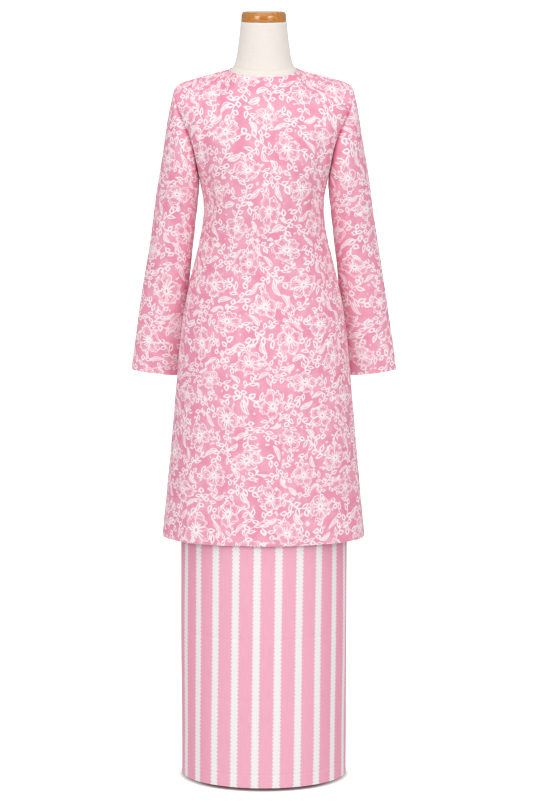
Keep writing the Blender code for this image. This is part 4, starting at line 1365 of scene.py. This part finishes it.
def linen_cover():
    """Unbleached linen, plain woven and stretched over padding: matt, with slubs both ways."""
    material, add = new_material("linen_woven")
    x, y, z = add("SeparateXYZ", solid_place(add)).node.outputs
    # Slubs of a 0.6 mm yarn, drawn three times as thick so that they show
    around = add("Math MULTIPLY", add("Math ARCTAN2", y, x), NECK_RADIUS)
    long_around, long_up = (add("Math MULTIPLY", way, SLUB_THINNESS) for way in (around, z))
    warp, weft = (
        add("TexNoise", add("CombineXYZ", *ways), SLUBS_PER_MM, 2.0, noise_dimensions="2D")
        for ways in ((around, long_up), (long_around, z))
    )
    yarns = add("Math ADD", warp, weft)
    colour = ramp_colours(add("ValToRGB", add("Math MULTIPLY", yarns, 0.5)), (0.36, 0.64), LINEN)
    # The cover is paler in a narrow band just under the cap
    pale_band = add("MapRange", z, NECK_BAND_START - NECK_BAND_EDGE, NECK_BAND_START + NECK_BAND_EDGE, 0.0, 1.0)
    colour = add("Mix", pale_band, colour, linear(NECK_BAND_PALE), data_type="RGBA")
    return surfaced(material, add, LINEN_CLOTH, colour, Normal=relief(add, yarns, *LINEN_RELIEF))


def varnished_beech():
    """Turned beech under clear gloss varnish: flecks along the grain, and a smooth coat that mirrors."""
    material, add = new_material("beech_varnished")
    place = solid_place(add)
    grain, flecks = (
        add("TexNoise", add("VectorMath MULTIPLY", place, ways), SPOT_SCALE, detail, noise_dimensions="3D")
        for ways, detail in ((GRAIN, 4.0), (FLECKS, 2.0))
    )
    both = add("Math ADD", grain, add("Math MULTIPLY", flecks, FLECK_SHARE))
    colour = ramp_colours(add("ValToRGB", both), (0.52, 0.68, 0.84), BEECH)
    return surfaced(material, add, VARNISHED_WOOD, colour, Normal=relief(add, both, *WOOD_RELIEF))


def coated_steel():
    """Steel under white powder coat: a satin skin with a fine orange peel."""
    material, add = new_material("steel_powder_coated")
    peel = add("TexNoise", solid_place(add), PEEL_PER_MM, 2.0, noise_dimensions="3D")
    colour = ramp_colours(add("ValToRGB", peel), (0.35, 0.65), COAT_WHITE)
    return surfaced(material, add, POWDER_COAT, colour, Normal=relief(add, peel, *PEEL_RELIEF))


def make_looks():
    """The materials of each finish: a cloth's right side, then its wrong side."""
    printed = print_group()
    plain = plain_cotton()
    return {
        "printed": (printed_cotton(printed), printed_cotton(printed, reverse=True)),
        "striped": (striped_cotton(), striped_cotton(reverse=True)),
        "plain": (plain, plain),
        "thread": (sewing_thread(),),
        "linen": (linen_cover(),),
        "wood": (varnished_beech(),),
        "steel": (coated_steel(),),
    }


# ---- studio ----

FLOOR_HALF = 40.0
FLOOR_DROP = 0.0004  # the floor lies this far under the solids' feet
FLOOR_WHITE = "#F4F4F4"
# A painted contact shadow: close to the hem the floor is painted dark and glows less, reaching further out in
# front
FLOOR_PAINTED_SHADOW = "#6C5D5C"
FLOOR_GLOW = 0.8
FLOOR_LIT_FROM = (0.165, 0.199)  # the reach at which the painted contact shadow round the hem gives way to glow, and at which the floor glows fully
FLOOR_PALE_SIDES = (0.100, 0.165, 0.0, 0.16)  # between these reaches sideways, the painted shadow is paler: this much glow comes back
FLOOR_PAINTED_SHADOW_SHIFT = (0.0, 0.016, 0.0)
HEM_TO_CIRCLE = (1.0, 1.25, 0.0)
SOFTBOX_PLACES = ((-2.8, -4.15, 2.4), (2.8, -4.15, 2.4))
SOFTBOX_SIZE = (1.9, 1.7)
SOFTBOX_WATTS = 57.0
LIGHT_AIM = (0.0, 0.0, 0.85)
# Slant is from straight down, towards the front or, if it is less than zero, behind
BroadLight = namedtuple("BroadLight", "name slant spread strength mirrored_in_gloss")
BROAD_LIGHTS = (
    BroadLight("overhead", math.radians(32), math.radians(70), 0.75, True),
    BroadLight("behind", math.radians(-83), math.radians(30), 0.75, False),
)
SURROUND = 0.59
SURROUND_IN_GLOSS = (0.3, 0.72)  # to the sides, and on the backdrop behind the garment
BACKDROP_FROM = (0.85, 0.97)  # how far towards straight behind the backdrop starts, and is full
BACKDROP_SEEN = 1.05

PICTURE_SIZE = (533, 801)
FOCAL_PIXELS = 3330.0
SENSOR = 36.0
CAMERA_PLACE = (0.0057, -7.0, 1.97)
CAMERA_PITCH = math.radians(80.63)  # from straight down


def floor_with_painted_shadow():
    """Matt white paint, lit from all round, that gives light, with a painted contact shadow close to the hem:
    darker there and giving no light.
    """
    material, add = new_material("floor_matt_painted_shadow")
    # The painted shadow is an ellipse round the hem, shifted forward
    place = add("VectorMath ADD", add("TexCoord", out=3), FLOOR_PAINTED_SHADOW_SHIFT)
    place = add("VectorMath MULTIPLY", place, HEM_TO_CIRCLE)
    reach = add("VectorMath LENGTH", place)
    lit = add("MapRange", reach, *FLOOR_LIT_FROM, 0.0, 1.0, interpolation_type="SMOOTHSTEP")
    across = add("Math ABSOLUTE", add("SeparateXYZ", place))
    beside = add("MapRange", across, *FLOOR_PALE_SIDES, interpolation_type="SMOOTHSTEP")
    lit = add("Mix", beside, lit, 1.0)
    # Painted shadow colour close to the hem, white further out
    colour = add("Mix", lit, linear(FLOOR_PAINTED_SHADOW), linear(FLOOR_WHITE), data_type="RGBA")
    glow = {"Emission Color": linear("#FFFFFF"), "Emission Strength": add("Math MULTIPLY", lit, FLOOR_GLOW)}
    return surfaced(material, add, MATT_PAINT, colour, **glow)


def floor():
    """A pale floor that runs out of sight."""
    ways = ((-1, -1), (1, -1), (1, 1), (-1, 1))
    mesh = bpy.data.meshes.new("studio_floor")
    mesh.from_pydata([(x * FLOOR_HALF, y * FLOOR_HALF, -FLOOR_DROP) for x, y in ways], [], [range(4)])
    mesh.materials.append(floor_with_painted_shadow())
    piece = placed(mesh, "studio_floor")
    piece.visible_diffuse = False  # the even surround lights the cloth from below as well
    piece.visible_glossy = False  # and the varnish mirrors no bright floor


def lights():
    """Soft lights in front and overhead."""
    for side, place in zip(("right", "left"), SOFTBOX_PLACES):
        light = bpy.data.lights.new(f"softbox_{side}", "AREA")
        light.shape = "RECTANGLE"
        light.size, light.size_y = SOFTBOX_SIZE
        light.energy = SOFTBOX_WATTS
        lamp = placed(light, f"softbox_{side}")
        lamp.location = place
        lamp.rotation_euler = (Vector(LIGHT_AIM) - Vector(place)).to_track_quat("-Z", "Y").to_euler()
    for name, slant, spread, strength, mirrored in BROAD_LIGHTS:
        light = bpy.data.lights.new(name, "SUN")
        light.energy = strength
        light.angle = spread
        lamp = placed(light, name)
        lamp.rotation_euler = (slant, 0.0, 0.0)
        lamp.visible_glossy = mirrored


def surround():
    """A white surround, whose backdrop is what gloss mirrors most."""
    world = bpy.data.worlds.new("white_surround")
    bpy.context.scene.world = world
    world.use_nodes = True
    world.node_tree.nodes.clear()
    add = partial(add_node, world.node_tree)
    rays = add("LightPath").node.outputs
    back = add("SeparateXYZ", add("TexCoord", out=0), out=1)
    in_gloss = add("MapRange", back, *BACKDROP_FROM, *SURROUND_IN_GLOSS)
    strength = add("Mix", rays["Is Glossy Ray"], SURROUND, in_gloss)
    strength = add("Mix", rays["Is Camera Ray"], strength, BACKDROP_SEEN)
    add("OutputWorld", add("Background", linear("#FFFFFF"), strength))


def camera():
    """A long lens, higher than the form and looking a little down."""
    data = bpy.data.cameras.new("camera")
    data.sensor_width = SENSOR
    data.lens = FOCAL_PIXELS * SENSOR / max(PICTURE_SIZE)
    eye = placed(data, "camera")
    eye.location = CAMERA_PLACE
    eye.rotation_euler = (CAMERA_PITCH, 0.0, 0.0)
    bpy.context.scene.camera = eye
    bpy.context.scene.view_settings.view_transform = "Standard"


LOOKS = make_looks()
tunic(LOOKS)
skirt(LOOKS)
form_torso(LOOKS)
neck_cap(LOOKS)
stand(LOOKS)
floor()
lights()
surround()
camera()

bpy.context.view_layer.update()
